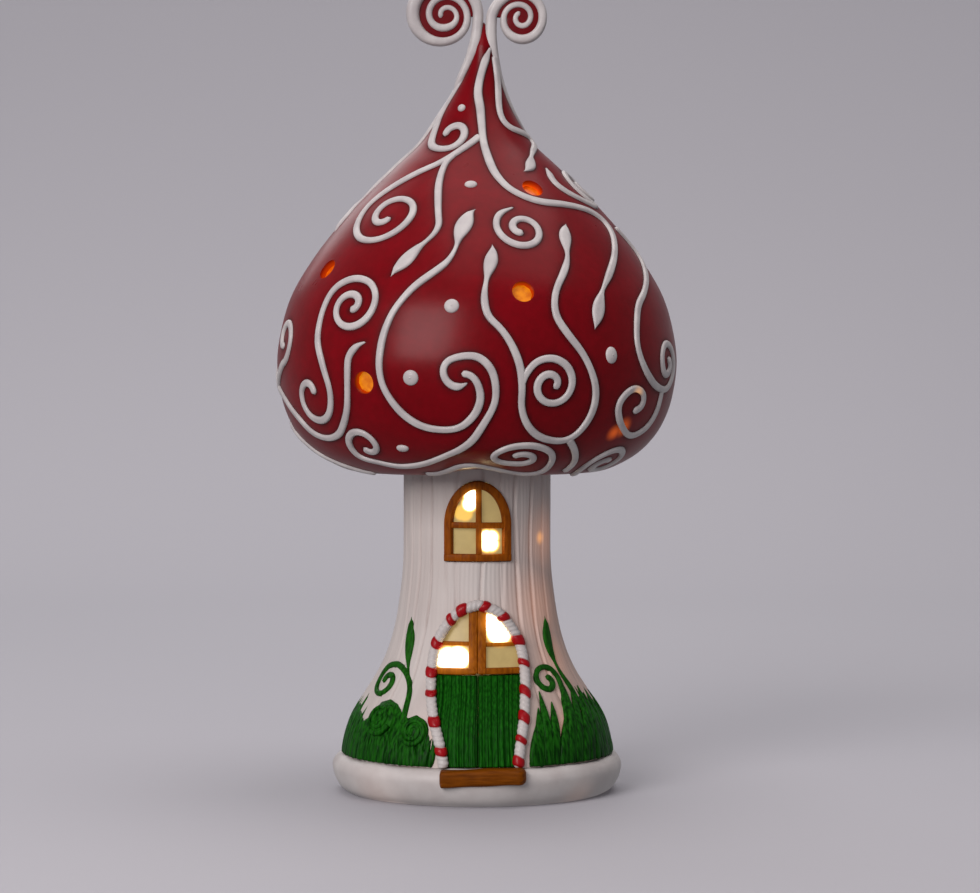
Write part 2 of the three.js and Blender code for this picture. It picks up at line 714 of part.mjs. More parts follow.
function curlBand(curl) {
  const size = TIP_CURL_RADIUS;
  const outer = [];
  const inner = [];
  const stemX = curl.x + curl.side * (curl.start - 0.03);
  const neck = [
    [size * curl.foot, capTopZ - size * 0.6],
    [size * curl.foot, capTopZ],
    [size * (curl.foot + stemX) / 2, capTopZ + size * curl.above * 0.35],
    [size * stemX, capTopZ + size * curl.above * 0.7],
  ];
  for (const [x, z] of neck) {
    outer.push([x + curl.side * size * curl.band * 0.42, z]);
    inner.push([x - curl.side * size * curl.band * 0.42, z]);
  }
  const steps = Math.round(curl.turns * CURL_SIDES);
  for (let step = 0; step <= steps; step += 1) {
    const wound = step / steps;
    const half = size * curl.band / 2 * (1 - 0.62 * wound);
    outer.push(curlPoint(curl, wound, half));
    inner.push(curlPoint(curl, wound, -half));
  }
  const outline = [...outer, ...inner.reverse()];
  const shape = new THREE.Shape(outline.map(([x, z]) => new THREE.Vector2(x, z)));
  return frontBlock(shape, -TIP_CURL_DEPTH / 2, TIP_CURL_DEPTH / 2);
}

function curlWeb(curl, inset, depth) {
  const points = [];
  for (let step = 0; step < CURL_SIDES; step += 1) {
    const wound = step / CURL_SIDES / curl.turns;
    points.push(new THREE.Vector2(...curlPoint(curl, wound, -inset)));
  }
  return frontBlock(new THREE.Shape(points), -depth / 2, depth / 2);
}

function tipCurl(curl) {
  const groove = curlWeb(curl, TIP_WEB_GROOVE, TIP_WEB_DEPTH + 2 * SEAT_GAP);
  return curlBand(curl).subtract(groove).subtract(capEnvelope(SEAT_GAP));
}

// Fluted stem: crests lie on its surface of revolution and narrow grooves part them
function fluteColumns() {
  const turn = 360 / FLUTE_COUNT;
  const middle = (flute) => (flute + FLUTE_WANDER_SHARE * Math.sin(flute * 2.3)) * turn;
  return [...Array(FLUTE_COUNT).keys()].flatMap((flute) => [
    [middle(flute), FLUTE_DEPTH],
    [middle(flute) + FLUTE_EDGE_SHARE * turn, 0],
    [middle(flute + 1) - FLUTE_EDGE_SHARE * turn, 0],
  ]);
}

function stemOuter() {
  const columns = fluteColumns();
  const positions = [];
  for (const [height] of STEM_FLARE) {
    const share = stemSurface.shareAt(stemFootZ + STEM_HEIGHT * height);
    const held = height === 0 || height === 1 ? height : share;
    const { radius, height: z } = stemSurface.at(held);
    for (const [azimuth, depth] of columns) {
      const angle = degrees(azimuth);
      positions.push((radius - depth) * Math.sin(angle), (depth - radius) * Math.cos(angle), z);
    }
  }
  return closedStack(positions, columns.length, STEM_FLARE.length);
}

// Rings of points stacked upwards, closed by a fan at each end
function closedStack(positions, around, rings) {
  const index = [];
  for (let ring = 0; ring < rings - 1; ring += 1) {
    for (let step = 0; step < around; step += 1) {
      const a = ring * around + step;
      const b = ring * around + (step + 1) % around;
      index.push(a, b, b + around, a, b + around, a + around);
    }
  }
  const points = [...positions];
  const bottomZ = positions[2];
  const topZ = positions[positions.length - 1];
  points.push(0, 0, bottomZ, 0, 0, topZ);
  const bottom = around * rings;
  for (let step = 0; step < around; step += 1) {
    const next = (step + 1) % around;
    const top = around * (rings - 1);
    index.push(bottom, next, step, bottom + 1, top + step, top + next);
  }
  const geometry = new THREE.BufferGeometry();
  geometry.setAttribute('position', new THREE.Float32BufferAttribute(points, 3));
  geometry.setIndex(index);
  return solidOf(geometry);
}

// A band between two distances off the stem's surface, for what lies on it or is let into it
const STEM_SEGMENTS = 48;
const stemBandShares = [0, 0.08, 0.16, 0.24, 0.31, 0.39, 0.5, 0.66, 1];

function stemBand(inside, outside) {
  const outer = stemBandShares.map((share) => stemSurface.profile(share, outside));
  const inner = stemBandShares.map((share) => stemSurface.profile(share, inside)).reverse();
  const profile = [...outer, ...inner];
  return solidOf(turned([...profile, profile[0]], STEM_SEGMENTS));
}

function stemEnvelope(offset) {
  const outer = stemBandShares.map((share) => stemSurface.profile(share, offset));
  const top = outer[outer.length - 1][1];
  return solidOf(turned([[0, outer[0][1]], ...outer, [0, top]], STEM_SEGMENTS));
}

// Arched outlines, seen from the front
function windowOutline(inset) {
  const half = WINDOW_WIDTH / 2 - inset;
  const sill = stemFootZ + WINDOW_SILL_ABOVE_FOOT + inset;
  const springing = stemFootZ + WINDOW_SILL_ABOVE_FOOT + WINDOW_HEIGHT / 2;
  const rise = WINDOW_HEIGHT / 2 - inset;
  const shape = new THREE.Shape();
  shape.moveTo(-half, sill);
  shape.lineTo(half, sill);
  shape.lineTo(half, springing);
  shape.absellipse(0, springing, half, rise, 0, Math.PI, false, 0);
  shape.lineTo(-half, sill);
  return shape;
}

// Half width of the door arch by share of its height: drawn in at the foot, widest at mid height
const DOOR_SIDE = [
  [0, 0.83],
  [0.14, 0.89],
  [0.3, 0.97],
  [0.46, 1],
  [0.6, 0.985],
  [0.75, 0.88],
  [0.88, 0.62],
  [0.96, 0.34],
  [1, 0],
];

function doorSide(inset) {
  const points = DOOR_SIDE.map(([height, width]) => new THREE.Vector2(
    Math.max(0, DOOR_HALF_WIDTH * width - inset * Math.min(1, width * 3)),
    stemFootZ + (DOOR_CROWN - inset) * height,
  ));
  return new THREE.SplineCurve(points);
}

function doorOutline(inset, divisions = 12) {
  const side = doorSide(inset).getPoints(divisions);
  const right = side.map(({ x, y }) => new THREE.Vector2(DOOR_CENTRE + x, y));
  const left = side.slice(0, -1).map(({ x, y }) => new THREE.Vector2(DOOR_CENTRE - x, y)).reverse();
  return new THREE.Shape([...right, ...left]);
}

const frontReach = BASE_FOOT_RADIUS * 1.3;
const stepTopZ = BASE_HEIGHT + STEP_ABOVE_BASE;
const doorRailZ = stemFootZ + DOOR_RAIL_ABOVE_FOOT;
const paneFront = -FRAME_DEPTH - SEAT_GAP;
const frontOf = (shape, curveSegments) => frontBlock(shape, 0, frontReach, curveSegments);

function frontBox(left, right, low, high) {
  return block([left, -frontReach, low], [right, 0, high]);
}

function stemShell() {
  const bore = stemBandShares.map((share) => stemSurface.profile(share, -STEM_WALL));
  bore[0][1] = stemFootZ - THROUGH;
  bore[bore.length - 1][1] = stemTopZ + THROUGH;
  const hollow = solidOf(turned([[0, bore[0][1]], ...bore, [0, stemTopZ + THROUGH]], STEM_SEGMENTS / 2));
  const windowHole = frontOf(windowOutline(-SEAT_GAP));
  const doorHole = frontOf(doorOutline(-SEAT_GAP));
  return stemOuter().subtract(hollow).subtract(windowHole).subtract(doorHole);
}

// Frame bars run LAP into the rim, so that they are one piece with it
const LAP = 1;
function windowFrame() {
  const half = WINDOW_WIDTH / 2 - LAP;
  const sill = stemFootZ + WINDOW_SILL_ABOVE_FOOT;
  const crown = sill + WINDOW_HEIGHT;
  const barZ = sill + CROSS_BAR_ABOVE_SILL;
  const rim = frontOf(windowOutline(0)).subtract(frontOf(windowOutline(FRAME_BAND)));
  const upright = frontBox(-GLAZING_BAR / 2, GLAZING_BAR / 2, sill + LAP, crown - LAP);
  const crossBar = frontBox(-half, half, barZ, barZ + GLAZING_BAR);
  return joined([rim, upright, crossBar]).intersect(stemBand(-FRAME_DEPTH, FRAME_PROUD));
}

function windowPane() {
  return frontOf(windowOutline(FRAME_BAND * 0.4))
    .intersect(stemBand(paneFront - PANE_THICKNESS, paneFront));
}

function doorWindowFrame() {
  const outline = frontOf(doorOutline(0));
  const crown = stemFootZ + DOOR_CROWN;
  const barZ = doorRailZ + DOOR_BAR_ABOVE_RAIL;
  const wide = 2 * DOOR_HALF_WIDTH;
  const stileHalf = DOOR_STILE_WIDTH / 2;
  const rim = outline.subtract(frontOf(doorOutline(DOOR_BORDER)));
  const bars = joined([
    frontBox(DOOR_CENTRE - stileHalf, DOOR_CENTRE + stileHalf, doorRailZ, crown - LAP),
    frontBox(-wide, wide, barZ, barZ + DOOR_BAR_HEIGHT),
    frontBox(-wide, wide, doorRailZ, doorRailZ + DOOR_RAIL_HEIGHT),
  ]);
  const joint = frontBox(
    DOOR_CENTRE - DOOR_JOINT / 2,
    DOOR_CENTRE + DOOR_JOINT / 2,
    doorRailZ - THROUGH,
    crown,
  ).subtract(stemEnvelope(0));
  return joined([rim, bars.intersect(outline)])
    .intersect(frontBox(-wide, wide, doorRailZ, crown + THROUGH))
    .intersect(stemBand(-FRAME_DEPTH, DOOR_FRAME_PROUD))
    .subtract(joint);
}

function doorPane() {
  const lap = DOOR_BORDER / 2;
  const wide = 2 * DOOR_HALF_WIDTH;
  const above = frontBox(-wide, wide, doorRailZ + lap, stemFootZ + DOOR_CROWN);
  return frontOf(doorOutline(lap))
    .intersect(above)
    .intersect(stemBand(paneFront - PANE_THICKNESS, paneFront));
}

// One leaf of the door: planks parted by grooves, from the doorstep's top to the rail
function doorLeaf(side) {
  const inner = side * SEAT_GAP / 2;
  const outer = side * DOOR_HALF_WIDTH * 1.2;
  const half = frontBox(
    DOOR_CENTRE + Math.min(inner, outer),
    DOOR_CENTRE + Math.max(inner, outer),
    stepTopZ + SEAT_GAP,
    doorRailZ - SEAT_GAP,
  );
  let leaf = frontOf(doorOutline(0)).intersect(half).intersect(stemBand(-FRAME_DEPTH, DOOR_LEAF_PROUD));
  const deep = stemEnvelope(DOOR_LEAF_PROUD - PLANK_GROOVE);
  for (let plank = 1; plank < PLANK_COUNT; plank += 1) {
    const x = DOOR_CENTRE + side * plank * DOOR_HALF_WIDTH / PLANK_COUNT;
    const groove = frontBox(x - PLANK_GROOVE / 2, x + PLANK_GROOVE / 2, stemFootZ, doorRailZ);
    leaf = leaf.subtract(groove.subtract(deep));
  }
  return leaf;
}

// Candy-cane arch: a round cane laid on the stem round the door
function candyArch() {
  const right = doorSide(-CANE_OUTSET).getPoints(14);
  const left = right.slice(0, -1).reverse();
  const onStem = ({ x, y }, side) => {
    const { radius } = stemSurface.at(stemSurface.shareAt(y));
    const acrossX = DOOR_CENTRE + side * x;
    return new THREE.Vector3(acrossX, -Math.sqrt(radius ** 2 - acrossX ** 2) - CANE_RADIUS * 0.4, y);
  };
  const route = new THREE.CatmullRomCurve3([
    ...right.map((point) => onStem(point, 1)),
    ...left.map((point) => onStem(point, -1)),
  ]);
  const section = new THREE.Shape();
  section.absarc(0, 0, CANE_RADIUS, 0, 2 * Math.PI, false);
  const tube = new THREE.ExtrudeGeometry(section, { steps: 28, curveSegments: 4, extrudePath: route });
  const floor = frontBox(-frontReach, frontReach, 0, stepTopZ + SEAT_GAP);
  return solidOf(tube).subtract(stemEnvelope(SEAT_GAP + FACET_SLACK)).subtract(floor);
}

// Snow base: a fat rolled rim with a ledge inside for the plate. Its side is given as [share of
// the bulge, share of the height, how far its face looks outwards, how far upwards].
const BASE_OUTLINE = [
  [-0.23, 0, 1, 0],
  [0.26, 0.07, 1, 0],
  [0.89, 0.32, 1, 0],
  [0.97, 0.62, 1, 0],
  [0.51, 0.88, 0.7, 0.7],
  [-0.2, 1, 0, 1],
];
const snowBaseProfile = (offset = 0) => BASE_OUTLINE.map(([bulge, height, outward, upward]) => [
  BASE_FOOT_RADIUS + BASE_BULGE * bulge + offset * outward,
  BASE_HEIGHT * height + offset * upward,
]);

const BASE_SEGMENTS = 44;
const plateTopZ = PLATE_LIFT + PLATE_THICKNESS;
function snowBase() {
  const mouth = PLATE_RADIUS + SEAT_GAP;
  const outer = snowBaseProfile();
  const profile = [
    ...outer,
    [BASE_LEDGE_RADIUS, BASE_HEIGHT],
    [BASE_LEDGE_RADIUS, plateTopZ + SEAT_GAP],
    [mouth, plateTopZ + SEAT_GAP],
    [mouth, 0],
    outer[0],
  ];
  return screwPlaces().reduce(
    (base, spot) => base.subtract(screwHole(spot)),
    solidOf(turned(profile, BASE_SEGMENTS)),
  );
}

function doorstep() {
  const left = STEP_OFFSET - STEP_WIDTH / 2;
  const right = left + STEP_WIDTH;
  const front = -(BASE_FOOT_RADIUS + BASE_BULGE + STEP_PROUD);
  const back = front + STEP_DEPTH;
  const plan = new THREE.Shape();
  plan.moveTo(left, front);
  plan.lineTo(right - STEP_DEPTH * 0.31, front);
  plan.quadraticCurveTo(right + STEP_DEPTH * 0.12, front + STEP_DEPTH / 2, right - STEP_DEPTH * 0.06, back);
  plan.lineTo(left, back);
  const options = { depth: STEP_HEIGHT, bevelEnabled: false, curveSegments: 5 };
  const board = new THREE.ExtrudeGeometry(plan, options);
  board.translate(0, 0, stepTopZ - STEP_HEIGHT);
  const base = snowBaseProfile(SEAT_GAP);
  const body = solidOf(turned([[0, 0], ...base, [0, BASE_HEIGHT + SEAT_GAP]], BASE_SEGMENTS));
  return solidOf(board).subtract(body).subtract(stemEnvelope(SEAT_GAP + FACET_SLACK));
}

// Grass: a skin on the flared foot whose upper edge runs through blade tips and valleys,
// given as [azimuth, share of GRASS_HEIGHT above the foot]
const GRASS = {
  grass_left: [
    [-19, 0.05], [-21, 0.45], [-25, 0.66], [-29, 0.71], [-33, 0.67], [-37, 0.72], [-42, 0.84],
    [-48, 0.91], [-54, 0.86], [-59, 0.66], [-63, 0.57], [-68, 0.69], [-73, 0.76], [-78, 0.93],
    [-82, 0.66], [-87, 0.86], [-92, 0.59], [-97, 0.76], [-102, 0.48], [-107, 0.69], [-112, 0.41],
    [-118, 0.52], [-123, 0.10],
  ],
  grass_right: [
    [22.5, 0.05], [24.5, 0.41], [27, 0.69], [29.5, 0.48], [31.5, 0.90], [34.5, 0.52], [37, 0.72],
    [40, 0.52], [43.5, 0.76], [46.5, 0.52], [50, 0.90], [54, 0.62], [57, 0.90], [61, 0.66], [66, 1],
    [71, 0.69], [76, 0.93], [82, 0.66], [88, 0.86], [94, 0.52], [101, 0.69], [107, 0.45], [113, 0.55],
    [119, 0.10],
  ],
  grass_back: [
    [125, 0.10], [130, 0.48], [136, 0.28], [142, 0.62], [148, 0.34], [154, 0.55], [160, 0.31],
    [167, 0.66], [173, 0.34], [180, 0.59], [186, 0.34], [192, 0.62], [198, 0.31], [204, 0.55],
    [210, 0.34], [216, 0.62], [222, 0.28], [228, 0.45], [232, 0.10],
  ],
};
const GRASS_LEVELS = [0, 0.3, 0.62, 1];
const GRASS_LIFT = 0.25;

function grassPatch(edge) {
  const points = [];
  edge.forEach(([azimuth, tip], column) => {
    const ridge = GRASS_SKIN + GRASS_RIDGE * (column % 2);
    const blade = GRASS_LEVELS.map((level) => [
      azimuth,
      stemSurface.shareAt(stemFootZ + SLIDE_GAP + GRASS_HEIGHT * tip * level),
    ]);
    blade.forEach(([, share], level) => {
      const thick = ridge * (1 - 0.55 * GRASS_LEVELS[level]);
      const foot = clearance(stemSurface, blade, level) + GRASS_LIFT;
      points.push(stemSurface.point(azimuth, share, foot));
      points.push(stemSurface.point(azimuth, share, foot + thick));
    });
  });
  const perColumn = GRASS_LEVELS.length * 2;
  const index = [];
  const quad = (a, b, c, d) => index.push(a, b, c, a, c, d);
  const right = edge[1][0] > edge[0][0] ? 1 : -1;
  const wall = (a, b, c, d) => (right > 0 ? quad(a, b, c, d) : quad(d, c, b, a));
  const last = (edge.length - 1) * perColumn;
  for (let column = 0; column < edge.length - 1; column += 1) {
    const here = column * perColumn;
    const next = here + perColumn;
    for (let level = 0; level < GRASS_LEVELS.length - 1; level += 1) {
      const low = level * 2;
      wall(here + low + 1, next + low + 1, next + low + 3, here + low + 3);
      wall(here + low + 2, next + low + 2, next + low, here + low);
    }
    wall(here, next, next + 1, here + 1);
    const top = perColumn - 2;
    wall(here + top + 1, next + top + 1, next + top, here + top);
  }
  for (let level = 0; level < GRASS_LEVELS.length - 1; level += 1) {
    const low = level * 2;
    wall(low, low + 1, low + 3, low + 2);
    wall(last + low + 2, last + low + 3, last + low + 1, last + low);
  }
  const geometry = new THREE.BufferGeometry();
  const positions = points.flatMap((point) => point.toArray());
  geometry.setAttribute('position', new THREE.Float32BufferAttribute(positions, 3));
  geometry.setIndex(index);
  return solidOf(geometry);
}

// Curled fronds and pointed leaves that rise from the grass, by azimuth and share of FROND_HEIGHT
const stemPoint = ([azimuth, share]) => [azimuth, stemSurface.shareAt(stemFootZ + FROND_HEIGHT * share)];
const FRONDS = {
  frond_left: [{
    stem: [[-35, 0.4], [-37, 0.483], [-40, 0.558], [-46, 0.625], [-54, 0.667]],
    last: { centre: [-60, 0.55], from: 80, turns: 1.35, start: 0.86, end: 0.2 },
  }, {
    stem: [[-41.5, 0.567], [-45, 0.65], [-49, 0.767], [-54, 1]],
    leafLast: 0.92,
  }],
  frond_right: [{
    stem: [[40, 0.4], [43, 0.467], [46.5, 0.525], [49, 0.575]],
    last: { centre: [43.5, 0.575], from: 15, turns: 1.2, start: 0.66, end: 0.2 },
  }, {
    stem: [[46.5, 0.525], [54, 0.55], [57, 0.617], [55.5, 0.717], [55, 0.817], [57.5, 1]],
    leafLast: 0.88,
  }],
};

function frond(branches) {
  return joined(branches.map(({ stem, last, ...rest }) => vine(stemSurface, {
    ...rest,
    width: FROND_WIDTH,
    stem: stem.map(stemPoint),
    last: last && { ...last, centre: stemPoint(last.centre) },
  })));
}

// Base plate with its battery well, and the recess in which the battery door slides
const wellHalfX = CELL_LENGTH / 2 + CONTACT_SPACE;
const wellHalfY = (CELL_COUNT - 1) / 2 * CELL_PITCH + CELL_RADIUS + SEAT_GAP;
const doorZ = PLATE_LIFT + SEAT_GAP;
const doorTopZ = doorZ + 2 * DOOR_PLATE;
const wellFloorZ = doorTopZ + SLIDE_GAP;
const cellZ = wellFloorZ + CELL_RADIUS;
const wellRoofZ = cellZ + CELL_RADIUS + SEAT_GAP;
const doorHalfX = wellHalfX - DOOR_PLATE;
const doorHalfY = wellHalfY + 2 * SEAT_GAP;

// The hatch's four side tabs, or the room they need when widened all round by a clearance
function doorTabs(halfLength, clear, low, high) {
  const reach = doorHalfX + TAB_REACH + clear;
  return joined([-TAB_SPACING / 2, TAB_SPACING / 2].map((y) => block(
    [-reach, y - halfLength, low],
    [reach, y + halfLength, high],
  )));
}

// Screws that hold the plate up against the ledge of the snow base
const screwCircle = (BASE_LEDGE_RADIUS + PLATE_RADIUS) / 2;
function screwPlaces() {
  const turns = [...Array(SCREW_COUNT).keys()];
  return turns.map((index) => {
    const angle = 2 * Math.PI * (index + 0.5) / SCREW_COUNT;
    return [screwCircle * Math.sin(angle), -screwCircle * Math.cos(angle)];
  });
}
const SCREW_SIDES = 8;
const screwHeadZ = PLATE_LIFT + SEAT_GAP;

function screw([x, y]) {
  const headTopZ = screwHeadZ + SCREW_HEAD_HEIGHT;
  const neckZ = headTopZ - SCREW_HEAD_HEIGHT / 2;
  const shank = rod([x, y, neckZ], [x, y, screwHeadZ + SCREW_LENGTH], SCREW_RADIUS, SCREW_SIDES);
  const head = rod([x, y, screwHeadZ], [x, y, headTopZ], SCREW_HEAD_RADIUS, SCREW_SIDES);
  const reach = SCREW_HEAD_RADIUS * 0.77;
  const drive = block(
    [x - reach, y - SCREW_DRIVE / 2, screwHeadZ - THROUGH],
    [x + reach, y + SCREW_DRIVE / 2, screwHeadZ + SCREW_DRIVE],
  );
  return shank.add(head).subtract(drive);
}

function screwHole([x, y]) {
  const headTopZ = screwHeadZ + SCREW_HEAD_HEIGHT + SEAT_GAP;
  const topZ = screwHeadZ + SCREW_LENGTH + SEAT_GAP;
  const shank = rod([x, y, PLATE_LIFT], [x, y, topZ], SCREW_RADIUS + SEAT_GAP, SCREW_SIDES);
  const wide = SCREW_HEAD_RADIUS + SEAT_GAP;
  const head = rod([x, y, PLATE_LIFT - THROUGH], [x, y, headTopZ], wide, SCREW_SIDES);
  return shank.add(head);
}

function basePlate() {
  const disc = solidOf(turned([
    [0, PLATE_LIFT], [PLATE_RADIUS, PLATE_LIFT], [PLATE_RADIUS, plateTopZ], [0, plateTopZ],
  ], BASE_SEGMENTS));
  const box = block(
    [-wellHalfX - WELL_WALL, -wellHalfY - WELL_WALL, plateTopZ - LAP],
    [wellHalfX + WELL_WALL, wellHalfY + WELL_WALL, wellRoofZ + WELL_WALL],
  );
  const room = block([-wellHalfX, -wellHalfY, wellFloorZ - 0.1], [wellHalfX, wellHalfY, wellRoofZ]);
  const recess = block(
    [-doorHalfX - SLIDE_GAP, -doorHalfY - SLIDE_GAP, PLATE_LIFT - THROUGH],
    [doorHalfX + SLIDE_GAP, doorHalfY + BATTERY_DOOR_TRAVEL + SLIDE_GAP, wellFloorZ],
  );
  const tabRoom = (low) => doorTabs(TAB_LENGTH / 2 + SLIDE_GAP, SLIDE_GAP, low, wellFloorZ);
  const tabPath = tabRoom(doorZ + DOOR_PLATE - SLIDE_GAP);
  const tabTravel = joined([0, 0.5, 1].map((part) => (
    tabPath.translate([0, BATTERY_DOOR_TRAVEL * part, 0])
  )));
  const tabMouths = tabRoom(PLATE_LIFT - THROUGH).translate([0, BATTERY_DOOR_TRAVEL, 0]);
  const slotHalfX = KNOB_WIDTH / 2 + SWITCH_TRAVEL + SLIDE_GAP;
  const slotHalfY = KNOB_DEPTH / 2 + SLIDE_GAP;
  const slot = block(
    [-slotHalfX, SWITCH_Y - slotHalfY, PLATE_LIFT - THROUGH],
    [slotHalfX, SWITCH_Y + slotHalfY, plateTopZ + THROUGH],
  );
  const socketTopZ = wellRoofZ + WELL_WALL + SOCKET_HEIGHT;
  const socket = block(
    [-BOARD_WIDTH / 2 - SOCKET_WALL, BOARD_Y - SOCKET_WALL, wellRoofZ + LAP],
    [BOARD_WIDTH / 2 + SOCKET_WALL, BOARD_Y + BOARD_THICKNESS + SOCKET_WALL, socketTopZ],
  );
  const boardSlot = block(
    [-BOARD_WIDTH / 2 - SEAT_GAP, BOARD_Y - SEAT_GAP, wellRoofZ + WELL_WALL],
    [BOARD_WIDTH / 2 + SEAT_GAP, BOARD_Y + BOARD_THICKNESS + SEAT_GAP, socketTopZ + THROUGH],
  );
  const cuts = [room, recess, tabTravel, tabMouths, slot, boardSlot, ...screwPlaces().map(screwHole)];
  return cuts.reduce((plate, cut) => plate.subtract(cut), joined([disc, box, socket]));
}

function batteryDoor() {
  const hatch = block([-doorHalfX, -doorHalfY, doorZ], [doorHalfX, doorHalfY, doorTopZ]);
  let door = hatch.add(doorTabs(TAB_LENGTH / 2, 0, doorZ + DOOR_PLATE, doorTopZ));
  for (let groove = 0; groove < GRIP_COUNT; groove += 1) {
    const y = doorHalfY - GRIP_PITCH * (groove + 3);
    door = door.subtract(block(
      [-GRIP_WIDTH / 2, y - GRIP_PITCH / 4, doorZ - THROUGH],
      [GRIP_WIDTH / 2, y + GRIP_PITCH / 4, doorZ + GRIP_DEPTH],
    ));
  }
  return door;
}

function batteryCell(row) {
  const y = (row - (CELL_COUNT - 1) / 2) * CELL_PITCH;
  const half = CELL_LENGTH / 2;
  const facing = row % 2 === 0 ? 1 : -1;
  const can = rod([-half, y, cellZ], [half, y, cellZ], CELL_RADIUS, 16);
  const nubEnd = facing * (half + CELL_NUB_HEIGHT);
  const nub = rod([facing * (half - LAP), y, cellZ], [nubEnd, y, cellZ], CELL_NUB_RADIUS, 10);
  return can.add(nub);
}

// A contact plate at one end of the well with a cone for each cell to bear on
function batteryContact(side) {
  const plateX = side * (wellHalfX - SEAT_GAP);
  const low = Math.min(plateX, plateX - side * CONTACT_THICKNESS);
  const margin = CONTACT_THICKNESS + SLIDE_GAP;
  const plate = block(
    [low, margin - wellHalfY, wellFloorZ + margin],
    [low + CONTACT_THICKNESS, wellHalfY - margin, wellRoofZ - margin],
  );
  const cones = [];
  for (let row = 0; row < CELL_COUNT; row += 1) {
    const y = (row - (CELL_COUNT - 1) / 2) * CELL_PITCH;
    const positive = (row % 2 === 0 ? 1 : -1) === side;
    const reach = CONTACT_SPACE - 2 * SEAT_GAP - (positive ? CELL_NUB_HEIGHT : 0);
    const inset = CONTACT_THICKNESS / 3;
    const cone = new THREE.CylinderGeometry(...CONTACT_CONE, reach - inset, 10);
    cone.rotateZ(side * Math.PI / 2);
    cone.translate(plateX - side * (inset + reach) / 2, y, cellZ);
    cones.push(solidOf(cone));
  }
  return joined([plate, ...cones]);
}

// Slide switch: a housing on the plate, and a knob whose flange runs inside it
const flangeZ = plateTopZ + 1;
const flangeHalfY = KNOB_DEPTH / 2 + 1;
const switchTopZ = flangeZ + KNOB_FLANGE_HEIGHT + SLIDE_GAP + 2;

function switchBody() {
  const halfX = KNOB_FLANGE / 2 + SWITCH_TRAVEL + SLIDE_GAP;
  const halfY = flangeHalfY + SLIDE_GAP;
  const roomTopZ = flangeZ + KNOB_FLANGE_HEIGHT + SLIDE_GAP;
  const lowZ = plateTopZ + SEAT_GAP;
  const shell = block(
    [-halfX - SWITCH_WALL, SWITCH_Y - halfY - SWITCH_WALL, lowZ],
    [halfX + SWITCH_WALL, SWITCH_Y + halfY + SWITCH_WALL, switchTopZ],
  );
  const room = block([-halfX, SWITCH_Y - halfY, lowZ - THROUGH], [halfX, SWITCH_Y + halfY, roomTopZ]);
  return shell.subtract(room);
}

function switchKnob() {
  const knob = block(
    [-KNOB_WIDTH / 2, SWITCH_Y - KNOB_DEPTH / 2, KNOB_FOOT_Z],
    [KNOB_WIDTH / 2, SWITCH_Y + KNOB_DEPTH / 2, flangeZ + KNOB_FLANGE_HEIGHT / 2],
  );
  const flange = block(
    [-KNOB_FLANGE / 2, SWITCH_Y - flangeHalfY, flangeZ],
    [KNOB_FLANGE / 2, SWITCH_Y + flangeHalfY, flangeZ + KNOB_FLANGE_HEIGHT],
  );
  return knob.add(flange);
}

// Lamp board: a narrow strip stood in its socket, with a lamp behind each lit opening
const boardFootZ = wellRoofZ + WELL_WALL + SEAT_GAP;
function lampBoard() {
  return block(
    [-BOARD_WIDTH / 2, BOARD_Y, boardFootZ],
    [BOARD_WIDTH / 2, BOARD_Y + BOARD_THICKNESS, boardFootZ + BOARD_HEIGHT],
  );
}

const LAMPS = {
  lamp_door: [-3, stemFootZ + 41],
  lamp_window: [3, stemFootZ + WINDOW_SILL_ABOVE_FOOT + 8],
  lamp_cap: [0, boardFootZ + BOARD_HEIGHT - 5],
};

function lamp(x, z) {
  const profile = [
    [0, 0], [LAMP_RADIUS + 0.4, 0], [LAMP_RADIUS + 0.4, 1], [LAMP_RADIUS, 1],
    [LAMP_RADIUS, LAMP_LENGTH - LAMP_RADIUS], [LAMP_RADIUS * 0.7, LAMP_LENGTH - 0.7], [0, LAMP_LENGTH],
  ];
  const bulb = turned(profile, 10);
  bulb.rotateX(Math.PI / 2);
  bulb.translate(x, BOARD_Y - SEAT_GAP, z);
  return solidOf(bulb);
}

// Lead from the switch up to the foot of the board
function lampLead() {
  const roofZ = wellRoofZ + WELL_WALL;
  const endY = BOARD_Y - SOCKET_WALL - SEAT_GAP;
  const route = new THREE.CatmullRomCurve3([
    new THREE.Vector3(0, SWITCH_Y, switchTopZ + SEAT_GAP),
    new THREE.Vector3(0, SWITCH_Y, switchTopZ + 5),
    new THREE.Vector3(1, SWITCH_Y + 2, roofZ - 3),
    new THREE.Vector3(3, -wellHalfY - 1, roofZ + 2.6),
    new THREE.Vector3(4, -wellHalfY + 6, roofZ + SEAT_GAP + LEAD_RADIUS + 0.3),
    new THREE.Vector3(2, -8, roofZ + SEAT_GAP + LEAD_RADIUS + 0.1),
    new THREE.Vector3(0, endY - 4, roofZ + 1.6),
    new THREE.Vector3(0, endY, roofZ + 2),
  ]);
  const section = new THREE.Shape();
  section.absarc(0, 0, LEAD_RADIUS, 0, 2 * Math.PI, false);
  return solidOf(new THREE.ExtrudeGeometry(section, { steps: 14, curveSegments: 3, extrudePath: route }));
}

// The assembly
const house = new THREE.Group();

function place(name, solid, [colour, roughness], metalness = 0) {
  const material = new THREE.MeshStandardMaterial({ color: colour, roughness, metalness });
  const mesh = new THREE.Mesh(geometryOf(solid), material);
  mesh.name = name;
  house.add(mesh);
}

